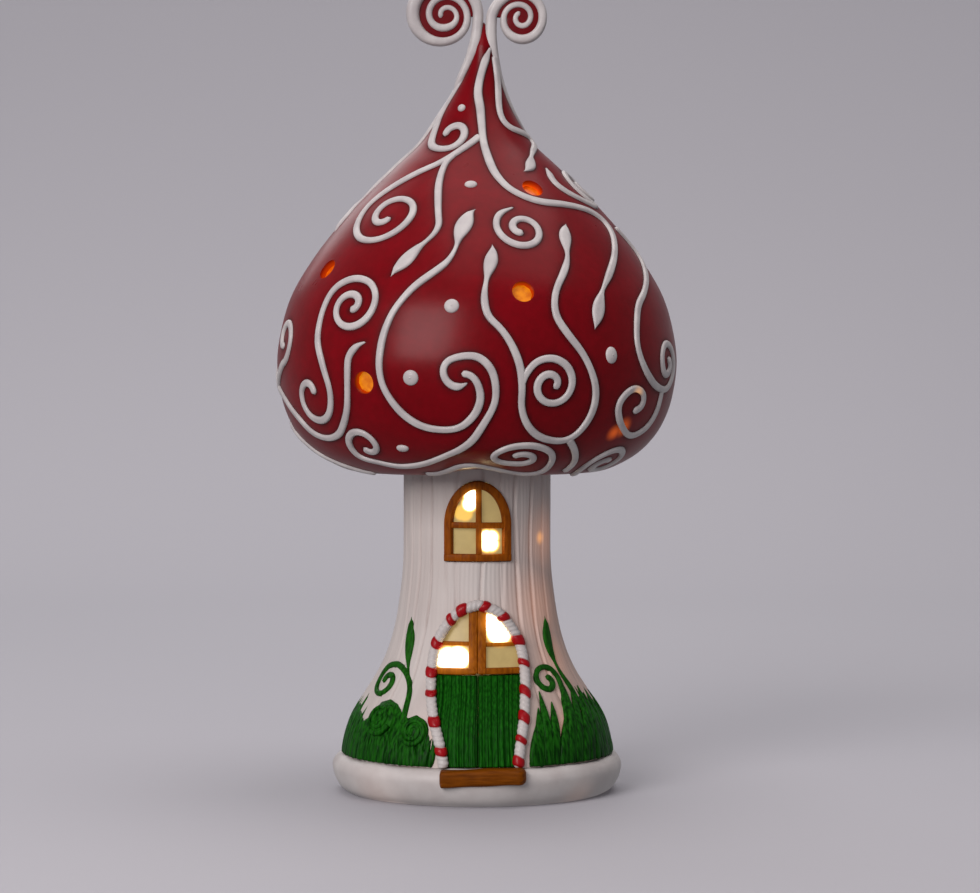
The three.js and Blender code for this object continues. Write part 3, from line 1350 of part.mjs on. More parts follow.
place('cap_shell', capShell(), PAINT.cap);
for (const [where, [azimuth, share]] of Object.entries(LIGHT_HOLES)) {
  place(`lens_${where}`, lens(azimuth, share), PAINT.lens);
}
place('tip_curl_left', tipCurl(CURLS.left), PAINT.white);
place('tip_curl_right', tipCurl(CURLS.right), PAINT.white);
place('curl_web_left', curlWeb(CURLS.left, TIP_WEB_GROOVE + SEAT_GAP, TIP_WEB_DEPTH), PAINT.cap);
place('curl_web_right', curlWeb(CURLS.right, TIP_WEB_GROOVE + SEAT_GAP, TIP_WEB_DEPTH), PAINT.cap);
for (const [name, branches] of Object.entries(SCROLLS)) {
  place(name, joined(branches.map((details) => vine(capSurface, details))), PAINT.white);
}

place('stem_shell', stemShell(), PAINT.stem);
place('window_frame', windowFrame(), PAINT.brown);
place('window_pane', windowPane(), PAINT.pane);
place('door_leaf_left', doorLeaf(-1), PAINT.green);
place('door_leaf_right', doorLeaf(1), PAINT.green);
place('door_window_frame', doorWindowFrame(), PAINT.brown);
place('door_pane', doorPane(), PAINT.pane);
place('candy_arch', candyArch(), PAINT.cane);
place('doorstep', doorstep(), PAINT.brown);
for (const [name, edge] of Object.entries(GRASS)) {
  place(name, grassPatch(edge), PAINT.green);
}
for (const [name, branches] of Object.entries(FRONDS)) {
  place(name, frond(branches), PAINT.green);
}
place('snow_base', snowBase(), PAINT.snow);

place('base_plate', basePlate(), PAINT.black);
place('battery_door', batteryDoor(), PAINT.black);
for (let row = 0; row < CELL_COUNT; row += 1) {
  place(`battery_cell_${row + 1}`, batteryCell(row), PAINT.cell, 0.6);
}
place('contact_left', batteryContact(-1), PAINT.steel, 1);
place('contact_right', batteryContact(1), PAINT.steel, 1);
screwPlaces().forEach((spot, index) => {
  place(`base_screw_${index + 1}`, screw(spot), PAINT.steel, 1);
});
place('switch_body', switchBody(), PAINT.black);
place('switch_knob', switchKnob(), PAINT.black);
place('lamp_board', lampBoard(), PAINT.board);
for (const [name, [x, z]] of Object.entries(LAMPS)) {
  place(name, lamp(x, z), PAINT.pane);
}
place('lamp_lead', lampLead(), PAINT.lead);

export default house;
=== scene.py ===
# %% [markdown]
# The mushroom house is a hand-painted resin casting: a glossy red cap with raised white scrolls, a
# fluted white stem with a door and a window, green leaves at its foot and a snow base, lit from
# inside. The imported model gives every place, so each piece below is worked out in the same
# millimetres and lands where its plain solid is.

# %% Load the fixed frame
import bmesh
import bpy
import numpy as np
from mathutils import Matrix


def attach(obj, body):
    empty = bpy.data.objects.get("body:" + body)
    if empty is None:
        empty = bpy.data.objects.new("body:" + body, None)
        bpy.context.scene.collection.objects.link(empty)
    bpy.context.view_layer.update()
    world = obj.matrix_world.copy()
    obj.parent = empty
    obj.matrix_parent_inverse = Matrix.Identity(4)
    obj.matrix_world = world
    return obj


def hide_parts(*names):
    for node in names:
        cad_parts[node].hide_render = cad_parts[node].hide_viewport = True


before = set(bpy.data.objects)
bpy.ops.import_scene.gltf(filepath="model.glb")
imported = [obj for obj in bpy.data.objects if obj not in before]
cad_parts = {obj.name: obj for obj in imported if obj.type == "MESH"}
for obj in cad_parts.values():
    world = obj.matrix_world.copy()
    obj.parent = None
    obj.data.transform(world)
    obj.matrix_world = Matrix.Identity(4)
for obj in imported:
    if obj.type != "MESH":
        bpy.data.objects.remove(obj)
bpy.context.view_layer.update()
MM = 0.001


# %% [markdown]
# A camera is described by where it stands, how far it is tipped and its lens. The photograph was
# taken from well back, a little above the cap's widest part, so the lens is long and the tip is
# slight. With the camera set first, every later piece can be judged in the same view.

# %% Camera at the photograph's angle
LENS, SENSOR_WIDTH = 122.4, 36
STAND = (5.5, -1400.0, 202.0)
TIP_DOWN = 2.36

camera_data = bpy.data.cameras.new("view")
camera_data.lens, camera_data.sensor_width = LENS, SENSOR_WIDTH
camera_data.sensor_fit = "HORIZONTAL"
camera = bpy.data.objects.new("view", camera_data)
camera.location = [value * MM for value in STAND]
camera.rotation_euler = (np.radians(90 - TIP_DOWN), 0, 0)
bpy.context.scene.collection.objects.link(camera)
bpy.context.scene.camera = camera
bpy.context.scene.view_settings.view_transform = "Standard"
print("camera stands", STAND, "with a lens of", LENS)

# %% [markdown]
# The floor and wall are one pale sheet that sweeps up behind the house, as in a small photo studio.
# It is seen only from its front, so that the house can be looked at from behind and from below too.
# A sheet with a curved foot has no line where floor and wall meet. Three large soft lamps and an even
# sky keep the shades gentle, at a level where a colour comes out about as it is written.

# %% Studio: sweep, lamps and sky
def put(name, points, quads, tris=(), **values):
    """Mesh object from whole arrays: points in mm, corners of faces, and values per point by name."""
    points = np.asarray(points, float).reshape(-1, 3) * MM
    quads = np.asarray(quads, int).reshape(-1, 4)
    tris = np.asarray(tris, int).reshape(-1, 3)
    mesh = bpy.data.meshes.new(name)
    mesh.vertices.add(len(points))
    mesh.vertices.foreach_set("co", points.ravel())
    corners = np.concatenate([quads.ravel(), tris.ravel()])
    mesh.loops.add(len(corners))
    mesh.loops.foreach_set("vertex_index", corners)
    starts = np.concatenate([np.arange(len(quads)) * 4, len(quads) * 4 + np.arange(len(tris)) * 3])
    mesh.polygons.add(len(starts))
    mesh.polygons.foreach_set("loop_start", starts)
    mesh.polygons.foreach_set("use_smooth", np.ones(len(starts), bool))
    made = bpy.data.objects.new(name, mesh)
    for key, value in values.items():
        keep_value(made, key, value)
    mesh.update(calc_edges=True)
    mesh.validate()
    bpy.context.scene.collection.objects.link(made)
    return made


def keep_value(piece, name, values):
    """Keeps a number for each point of a piece, for its paint to read."""
    layer = piece.data.attributes.new(name, "FLOAT", "POINT")
    layer.data.foreach_set("value", np.asarray(values, float).ravel())


def grid_quads(rows, columns, wrap_rows=False, wrap_columns=False):
    """Corners of a grid's faces, each from a point to its next row and column; a way may wrap."""
    i, j = np.meshgrid(np.arange(rows - (not wrap_rows)), np.arange(columns - (not wrap_columns)),
                       indexing="ij")
    down, right = (i + 1) % rows, (j + 1) % columns
    corners = [i * columns + j, i * columns + right, down * columns + right, down * columns + j]
    return np.stack(corners, axis=-1).reshape(-1, 4)


def points_at(x, y, z):
    """Points from three coordinates, each spread over the shape of the others."""
    return np.stack(np.broadcast_arrays(x, y, z), axis=-1)


FLOOR_FRONT, BEND_FOOT, BEND_RADIUS, WALL_FOOT, WALL_TOP = -2500, 900, 600, 800, 3200
HALF_ACROSS, SHEET_BELOW = 2600, 0.05
bend = np.linspace(0.1, np.pi / 2, 14)
sweep_depth = np.concatenate([np.linspace(FLOOR_FRONT, BEND_FOOT, 12),
                              BEND_FOOT + BEND_RADIUS * np.sin(bend),
                              np.full(10, BEND_FOOT + BEND_RADIUS)])[:, None]
sweep_rise = np.concatenate([np.zeros(12), BEND_RADIUS * (1 - np.cos(bend)),
                             np.linspace(WALL_FOOT, WALL_TOP, 10)])[:, None]
sweep_across = np.linspace(-HALF_ACROSS, HALF_ACROSS, 9)
sweep = put("studio_sweep", points_at(sweep_across, sweep_depth, sweep_rise - SHEET_BELOW),
            grid_quads(len(sweep_depth), len(sweep_across)))


def soft_lamp(name, place, size, power, colour=(1, 1, 1)):
    """Square lamp at a place in mm, turned so that it shines on the middle of the house."""
    data = bpy.data.lights.new(name, "AREA")
    data.energy, data.size, data.color = power, size * MM, colour
    lamp = bpy.data.objects.new(name, data)
    lamp.location = [value * MM for value in place]
    away = np.array(place, float) - HOUSE_MIDDLE
    lamp.rotation_euler = (np.arctan2(np.hypot(away[0], away[1]), away[2]), 0,
                           np.arctan2(away[0], -away[1]))
    bpy.context.scene.collection.objects.link(lamp)


HOUSE_MIDDLE = (0, 0, 190)
SKY_COLOUR, SKY_STRENGTH = (0.86, 0.87, 0.93, 1), 0.31
soft_lamp("lamp_left", (-950, -1650, 950), 1100, 30, (1.0, 0.97, 0.97))
soft_lamp("lamp_top", (250, 60, 2050), 1900, 20, (1.0, 0.97, 0.95))
soft_lamp("lamp_back", (-300, 1500, 1300), 1500, 9)
world = bpy.data.worlds.new("studio_sky")
bpy.context.scene.world = world
world.use_nodes = True
sky = world.node_tree.nodes["Background"]
sky.inputs["Color"].default_value, sky.inputs["Strength"].default_value = SKY_COLOUR, SKY_STRENGTH
print("studio ready")

# %% [markdown]
# Paint on this house is never one flat colour: it darkens in the grooves as painted shade, fades to a
# lighter tone on raised edges and carries a painted glow where a lamp is near. Such finishes are sums
# and products of small patterns.
# One small class wraps a node's socket, so that the sums read like ordinary sums in Python, and a
# second one holds a material and makes its other nodes from a type, its settings and its inputs.

# %% Nodes written as sums
class Value:
    """The number or colour that leaves one node; + - and * on it add Math nodes."""

    def __init__(self, finish, socket):
        self.finish, self.socket = finish, socket

    def _sum(self, operation, first, second):
        return self.finish.node("ShaderNodeMath", {"operation": operation}, {0: first, 1: second})

    def __add__(self, other):
        return self._sum("ADD", self, other)

    def __sub__(self, other):
        return self._sum("SUBTRACT", self, other)

    def __rsub__(self, other):
        return self._sum("SUBTRACT", other, self)

    def __mul__(self, other):
        return self._sum("MULTIPLY", self, other)

    __radd__ = __add__
    __rmul__ = __mul__

    def highest(self, other):
        return self._sum("MAXIMUM", self, other)

    def between(self, low, high):
        """0 below low, 1 above high and a soft step between; low above high turns it round."""
        settings = {"interpolation_type": "SMOOTHSTEP", "clamp": True}
        return self.finish.node("ShaderNodeMapRange", settings,
                                {0: self, 1: low, 2: high, 3: 0.0, 4: 1.0})


class Finish:
    """A material on a Principled shader, with the fixed values set on the shader's own sockets."""

    def __init__(self, name, **fixed):
        self.material = bpy.data.materials.new(name)
        self.material.use_nodes = True
        self.tree = self.material.node_tree
        self.shader = self.tree.nodes["Principled BSDF"]
        for key, value in fixed.items():
            self.shader.inputs[key.replace("_", " ")].default_value = value
        spot = self.node("ShaderNodeTexCoord", {}, {}, "Object")
        self.place = self.node("ShaderNodeMapping", {}, {0: spot, 3: (1 / MM, 1 / MM, 1 / MM)})

    def node(self, kind, settings, inputs, output=0):
        """Any node, from its type, its settings and the values or links of its sockets."""
        made = self.tree.nodes.new(kind)
        for key, value in settings.items():
            setattr(made, key, value)
        for key, value in inputs.items():
            if isinstance(value, Value):
                self.tree.links.new(value.socket, made.inputs[key])
            else:
                made.inputs[key].default_value = value
        return Value(self, made.outputs[output])

    def noise(self, size, detail=2.0, stretch=(1, 1, 1)):
        """Cloudy pattern from 0 to 1 whose patches are about size mm across, drawn out by stretch."""
        scale = tuple(1 / (size * part) for part in stretch)
        spot = self.node("ShaderNodeVectorMath", {"operation": "MULTIPLY"}, {0: self.place, 1: scale})
        return self.node("ShaderNodeTexNoise", {}, {"Vector": spot, "Scale": 1.0, "Detail": detail},
                         "Fac")

    def value(self, name):
        """A number kept on the mesh's points."""
        return self.node("ShaderNodeAttribute", {"attribute_name": name}, {}, "Fac")

    def axis(self, name):
        """X, Y or Z in mm."""
        return self.node("ShaderNodeSeparateXYZ", {}, {0: self.place}, name)

    def mix(self, factor, first, second):
        """Colour that goes from first to second as the factor goes from 0 to 1."""
        first, second = (value if isinstance(value, Value) else (*value, 1) for value in (first,
                                                                                          second))
        return self.node("ShaderNodeMix", {"data_type": "RGBA"}, {0: factor, 6: first, 7: second}, 2)

    def near(self, spots):
        """Glow round spots (x, y, z, reach in mm): 1 at a spot, falling softly to 0 at its reach."""
        total = None
        for x, y, z, reach in spots:
            away = self.node("ShaderNodeVectorMath", {"operation": "DISTANCE"},
                             {0: self.place, 1: (x, y, z)}, 1)
            glow = away.between(reach, 0.0)
            total = glow if total is None else total.highest(glow)
        return total

    def feed(self, **sockets):
        """Links values to the shader's sockets."""
        for key, value in sockets.items():
            self.tree.links.new(value.socket, self.shader.inputs[key.replace("_", " ")])

    def bump(self, height, depth, strength):
        """Fine relief: height from 0 to 1 stands for depth in mm."""
        self.feed(Normal=self.node("ShaderNodeBump", {}, {"Height": height, "Distance": depth * MM,
                                                          "Strength": strength}))

    def cover(self, *pieces):
        """Paints pieces: a mesh gets a slot if it has none, and its object gets the material."""
        for piece in pieces:
            if not piece.data.materials:
                piece.data.materials.append(None)
            for slot in piece.material_slots:
                slot.link, slot.material = "OBJECT", self.material


def srgb(*parts):
    """The linear colour of a screen colour given from 0 to 255."""
    share = np.array(parts) / 255
    linear = np.where(share <= 0.04045, share / 12.92, ((share + 0.055) / 1.055) ** 2.4)
    return tuple(float(value) for value in linear)


pale = Finish("pale_sweep", Roughness=0.9)
pale.feed(Base_Color=pale.mix(pale.noise(900, 1.0), srgb(172, 169, 176), srgb(180, 176, 181)))
seen = pale.node("ShaderNodeLightPath", {}, {}, "Is Camera Ray")
behind = pale.node("ShaderNodeNewGeometry", {}, {}, "Backfacing")
clear = pale.node("ShaderNodeBsdfTransparent", {}, {}, "BSDF")
sheet = pale.node("ShaderNodeMixShader", {}, {0: seen * (1 - behind), 1: clear,
                                              2: Value(pale, pale.shader.outputs["BSDF"])}, "Shader")
pale.tree.links.new(sheet.socket, pale.tree.nodes["Material Output"].inputs["Surface"])
pale.cover(sweep)
print("node classes ready")

# %% [markdown]
# Cap and stem are turned forms: a profile of radius and height carried round the upright axis. A
# smooth curve through a few profile points can be laid on by hand with a Spin modifier, but a class
# that turns azimuth and share of the profile into a point gives more: the scrolls, dots, leaves and
# door can all be placed on the same surface. Azimuth is in degrees from the front, positive to the
# right.

# %% Turned surfaces
def through(points, steps):
    """Smooth curve through points: each piece is a cubic whose slopes point at the neighbours."""
    points = np.asarray(points, float)
    padded = np.vstack([points[:1], points, points[-1:]])
    t = np.linspace(0, len(points) - 1, steps)
    i = np.minimum(t.astype(int), len(points) - 2)
    w = (t - i)[:, None]
    before, here, then, after = (padded[i + k] for k in range(4))
    leave, arrive = (then - before) / 2, (after - here) / 2
    return ((2 * here - 2 * then + leave + arrive) * w ** 3
            + (3 * then - 3 * here - 2 * leave - arrive) * w ** 2 + leave * w + here)


def along(points):
    """Distance run at each point of a line."""
    return np.concatenate([[0], np.cumsum(np.linalg.norm(np.diff(points, axis=0), axis=1))])


def evenly(line, run, count):
    """Even steps of the run, and the line's columns read at them."""
    even = np.linspace(0, run[-1], count)
    return even, np.column_stack([np.interp(even, run, column) for column in line.T])


def unit(vectors):
    return vectors / np.linalg.norm(vectors, axis=-1, keepdims=True)


def round_axis(radius, azimuth, height):
    """Points at a radius and height carried round the upright axis: sine to the right, cosine to the
    front."""
    angle = np.radians(azimuth)
    return points_at(radius * np.sin(angle), -radius * np.cos(angle), height)


def step_up(value, low, high):
    """Soft step from 0 at low to 1 at high."""
    t = np.clip((value - low) / (high - low), 0, 1)
    return t * t * (3 - 2 * t)


def half_round(share, least=0.002):
    """Height of a half circle at a share of its radius in from the end, and never less than least."""
    return np.sqrt(np.clip(1 - (1 - np.clip(share, 0, 1)) ** 2, least, 1))


class Turned:
    """Turned surface: a share of the profile's length and an azimuth give a point and its normal."""

    def __init__(self, profile, shape=None):
        self.curve = through(profile, 4001)
        run = along(self.curve)
        self.length, self.share = run[-1], run / run[-1]
        slope = np.gradient(self.curve, run, axis=0)
        self.out = unit(np.stack([slope[:, 1], -slope[:, 0]], axis=1))
        self.shape = shape

    def read(self, share, table):
        """Both columns of a table along the profile, radius and height, read at a share."""
        return [np.interp(share, self.share, column) for column in table.T]

    def radius(self, share):
        return self.read(share, self.curve)[0]

    def point(self, azimuth, share, offset=0.0):
        """Point at a share of the profile, moved out along the normal and then shaped."""
        (radius, height), (outward, upward) = self.read(share, self.curve), self.read(share, self.out)
        place = round_axis(radius + offset * outward, azimuth, height + offset * upward)
        return place if self.shape is None else self.shape(place, azimuth, share)

    def normal(self, azimuth, share):
        outward, upward = self.read(share, self.out)
        return round_axis(outward, azimuth, upward)

    def share_at(self, height):
        """Share of the profile at which it reaches a height."""
        return np.interp(height, np.maximum.accumulate(self.curve[:, 1]), self.share)


CAP_RADIUS, CAP_HEIGHT, CAP_SEAT = 84.3, 175.0, 136.5
CAP_OUTLINE = [(0.534, -0.0103), (0.641, -0.0091), (0.777, 0.0217), (0.868, 0.06), (0.932, 0.1057),
               (0.977, 0.1657), (1, 0.2486), (0.977, 0.3314), (0.925, 0.4086), (0.83, 0.4857),
               (0.712, 0.5606), (0.569, 0.6371), (0.407, 0.7131), (0.279, 0.7714), (0.18, 0.8429),
               (0.11, 0.9086), (0.071, 0.9629), (0.059, 1)]
cap_profile = [(27.0, CAP_SEAT), (34.0, CAP_SEAT)]
cap_profile += [(CAP_RADIUS * r, CAP_SEAT + CAP_HEIGHT * z) for r, z in CAP_OUTLINE]
TIP_LEAN, CAP_WANDER = 2.9, 0.3
RIM_LIFT, RIM_LIFT_AZIMUTH, RIM_LIFT_REACH, RIM_SHARE = 3.2, 2, 17, 0.1


def cap_shape(place, azimuth, share):
    """The cap's shape: the tip leans right by a soft step of the height, the surface wanders by a
    product of sines, and the rim lifts in front by a bell curve of the azimuth."""
    lean = step_up(place[..., 2], CAP_SEAT + 0.82 * CAP_HEIGHT, CAP_SEAT + 0.98 * CAP_HEIGHT)
    place[..., 0] += TIP_LEAN * lean
    angle = np.radians(azimuth)
    wander = CAP_WANDER * np.sin(3 * angle + 7 * share) * np.sin(9 * share + 2 * np.sin(angle))
    belly = step_up(share, 0.1, 0.25) * (1 - step_up(share, 0.7, 0.9))
    scale = 1 + (wander - CAP_WANDER) * belly / 80
    place[..., :2] *= scale[..., None]
    off_front = (np.asarray(azimuth) + 180) % 360 - 180 - RIM_LIFT_AZIMUTH
    place[..., 2] += (RIM_LIFT * np.exp(-(off_front / RIM_LIFT_REACH) ** 2)
                      * np.clip(1 - np.abs(share - RIM_SHARE) / RIM_SHARE, 0, 1))
    return place


cap = Turned(cap_profile, cap_shape)

STEM_FOOT, STEM_TOP = 15.8, 136.2
FOOT_RADIUS, WAIST_RADIUS = 56.4, 30.7
FLARE = [(0, 1), (0.1, 0.89), (0.16, 0.775), (0.22, 0.61), (0.283, 0.424), (0.356, 0.268),
         (0.44, 0.15), (0.545, 0.065), (0.66, 0.01), (0.8, 0), (1, 0)]
stem = Turned([(WAIST_RADIUS + (FOOT_RADIUS - WAIST_RADIUS) * f,
                STEM_FOOT + (STEM_TOP - STEM_FOOT) * h) for h, f in FLARE])
print("cap profile", round(cap.length, 1), "mm, stem profile", round(stem.length, 1), "mm")

# %% [markdown]
# The scrolls are what make this cap: vines that wander, split, end in spirals or swell into pointed
# leaves. They could be drawn as bevelled curves, but a bevelled curve stays a round wire. Here each
# vine is a path in azimuth and share of the cap's profile, smoothed, and carried along it is a low
# rounded section, so that the bead sits on the cap, follows its normal and keeps a flat foot. Spirals
# come from a formula, a radius that shrinks evenly with the angle, and not from drawn points.

# %% A vine on a turned surface
def curl(surface, centre, start_angle, turns, start, end, rise=1.0, step=41):
    """Spiral round a centre on the surface: radius goes evenly from start to end mm as it winds."""
    count = int(np.ceil(abs(turns) * 360 / step))
    wound = np.linspace(0, 1, count + 1)
    radius = start + (end - start) * wound
    angle = np.radians(start_angle + 360 * turns * wound)
    share = centre[1] + rise * radius * np.sin(angle) / surface.length
    azimuth = centre[0] + np.degrees(radius * np.cos(angle) / surface.radius(share))
    return np.stack([azimuth, share], axis=1)


VINE_PACE, SMOOTH_REACH, SMOOTH_SPREAD = 0.8, 5, 2.0


def vine_path(surface, stem, first, last):
    """Points every 0.8 mm along a vine, from its first curl over the stem points to its last curl,
    each then moved to the mean of its neighbours, weighted by a bell curve."""
    keys = [curl(surface, *first)[::-1]] if first else []
    keys += [np.array(stem, float)] if len(stem) else []
    keys += [curl(surface, *last)] if last else []
    path = through(np.vstack(keys), 1600)
    run = along(surface.point(*path.T))
    path = evenly(path, run, max(8, int(run[-1] / VINE_PACE)))[1]
    weights = np.exp(-0.5 * (np.arange(-SMOOTH_REACH, SMOOTH_REACH + 1) / SMOOTH_SPREAD) ** 2)
    weights /= weights.sum()
    longer = np.vstack([2 * path[:1] - path[SMOOTH_REACH:0:-1], path,
                        2 * path[-1:] - path[-2:-2 - SMOOTH_REACH:-1]])
    return np.column_stack([np.convolve(column, weights, "valid") for column in longer.T])


UNEVEN, NECK, TAIL, SWELL = 0.07, 0.58, 0.3, 11.2


def widths(run, width, leaf_first=0, leaf_last=0, leaf_width=6.2, fatten=0.0, tail_first=0,
           tail_last=0):
    """Width along a vine: a plain end is round, a tail thins out over its length in mm, and a leaf is
    a pointed swelling, a power of the reach times a power of what is left, on a pinched neck."""
    total = run[-1]
    wide = width * (1 + fatten * (1 - run / total)) * (1 + UNEVEN * np.sin(run / 5.3 + total))
    for to_end, leaf, tail in ((run, leaf_first, tail_first), (total - run, leaf_last, tail_last)):
        if leaf:
            reach = np.clip(to_end / leaf, 0, 1)
            swell = (leaf_width - 0.5 * wide) * SWELL * reach ** 1.45 * (1 - reach) ** 2
            blade_wide = 0.15 + NECK * wide * step_up(reach, 0, 0.8) + swell
            neck_wide = wide * (NECK + (1 - NECK) * step_up(to_end, leaf * 0.95, leaf * 1.6))
            wide = np.where(to_end < leaf, blade_wide, neck_wide)
        else:
            if tail:
                wide = wide * (TAIL + (1 - TAIL) * step_up(to_end, 0, tail))
            wide = wide * half_round(to_end / np.maximum(wide / 2, 0.3), 0.004)
    return wide


SECTION = np.sin(np.linspace(-np.pi / 2, np.pi / 2, 15))
SECTION_ACROSS = np.concatenate([SECTION, SECTION[-2:0:-1]])[:, None]
SECTION_RISE = np.concatenate([(1 - np.abs(SECTION) ** 4) ** 0.45, np.zeros(len(SECTION) - 2)])[:,
                                                                                                None]
HOOK_REACH = 4.5


def bead(places, normals, wide, high, sink=0.35, hook=(0, 0)):
    """Closed raised strip: its top is flat in the middle and rounds down to both sides. A hook bends
    the last few mm of an end sideways by the square of how near the end is."""
    run = along(places)
    slope = np.gradient(places, axis=0)
    side = unit(np.cross(normals, slope))
    for to_end, sideways in ((run, hook[0]), (run[-1] - run, hook[1])):
        places = places + side * (sideways * np.clip(1 - to_end / HOOK_REACH, 0, 1) ** 2)[:, None]
    up = unit(np.cross(slope, side))
    points = (places[:, None] + side[:, None] * (SECTION_ACROSS * wide[:, None, None] / 2)
              + up[:, None] * (SECTION_RISE * high[:, None, None] - sink))
    rows, columns = points.shape[:2]
    k = np.arange(1, columns - 1)
    lids = np.stack([0 * k, k + 1, k], axis=1)
    return (points.reshape(-1, 3), grid_quads(rows, columns, wrap_columns=True),
            np.vstack([lids, lids[:, ::-1] + (rows - 1) * columns]))


def gather(shells):
    """Several closed shells as one set of points, quads and triangles."""
    starts = np.cumsum([0] + [len(shell[0]) for shell in shells])
    return (np.vstack([shell[0] for shell in shells]),
            *(np.vstack([shell[part] + start for shell, start in zip(shells,
                                                                     starts)]) for part in (1, 2)))


vine_lines = []


def vine(surface, stem=(), first=None, last=None, width=3.05, high=1.4, shaded=True, hook=(0, 0),
         **shape):
    """One branch: its path, its width and a height that falls with the width. A shaded branch is
    noted down, for the cap's paint to darken beside it as painted shade."""
    azimuth, share = vine_path(surface, stem, first, last).T
    places = surface.point(azimuth, share)
    wide = widths(along(places), width, **shape)
    tall = high * np.minimum(1, 0.25 + 0.75 * wide / width)
    if shaded:
        vine_lines.append(np.column_stack([places, wide]))
    return bead(places, surface.normal(azimuth, share), wide, tall, hook=hook)


def ready(piece, slot, *nodes):
    """Makes a piece ride on the house and stand for the named solids; the slot is not used."""
    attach(piece, "house")
    if nodes:
        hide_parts(*nodes)
    return piece


print("points round a vine's section:", len(SECTION_ACROSS))

# %% [markdown]
# Every scroll is written down as stem points [azimuth, share] with a spiral before or after them, and
# branches that grow out of each other share one entry. The shapes on the front follow the house in
# the photograph; on the sides and back the same kind of scrolls go on, as they do on such castings.

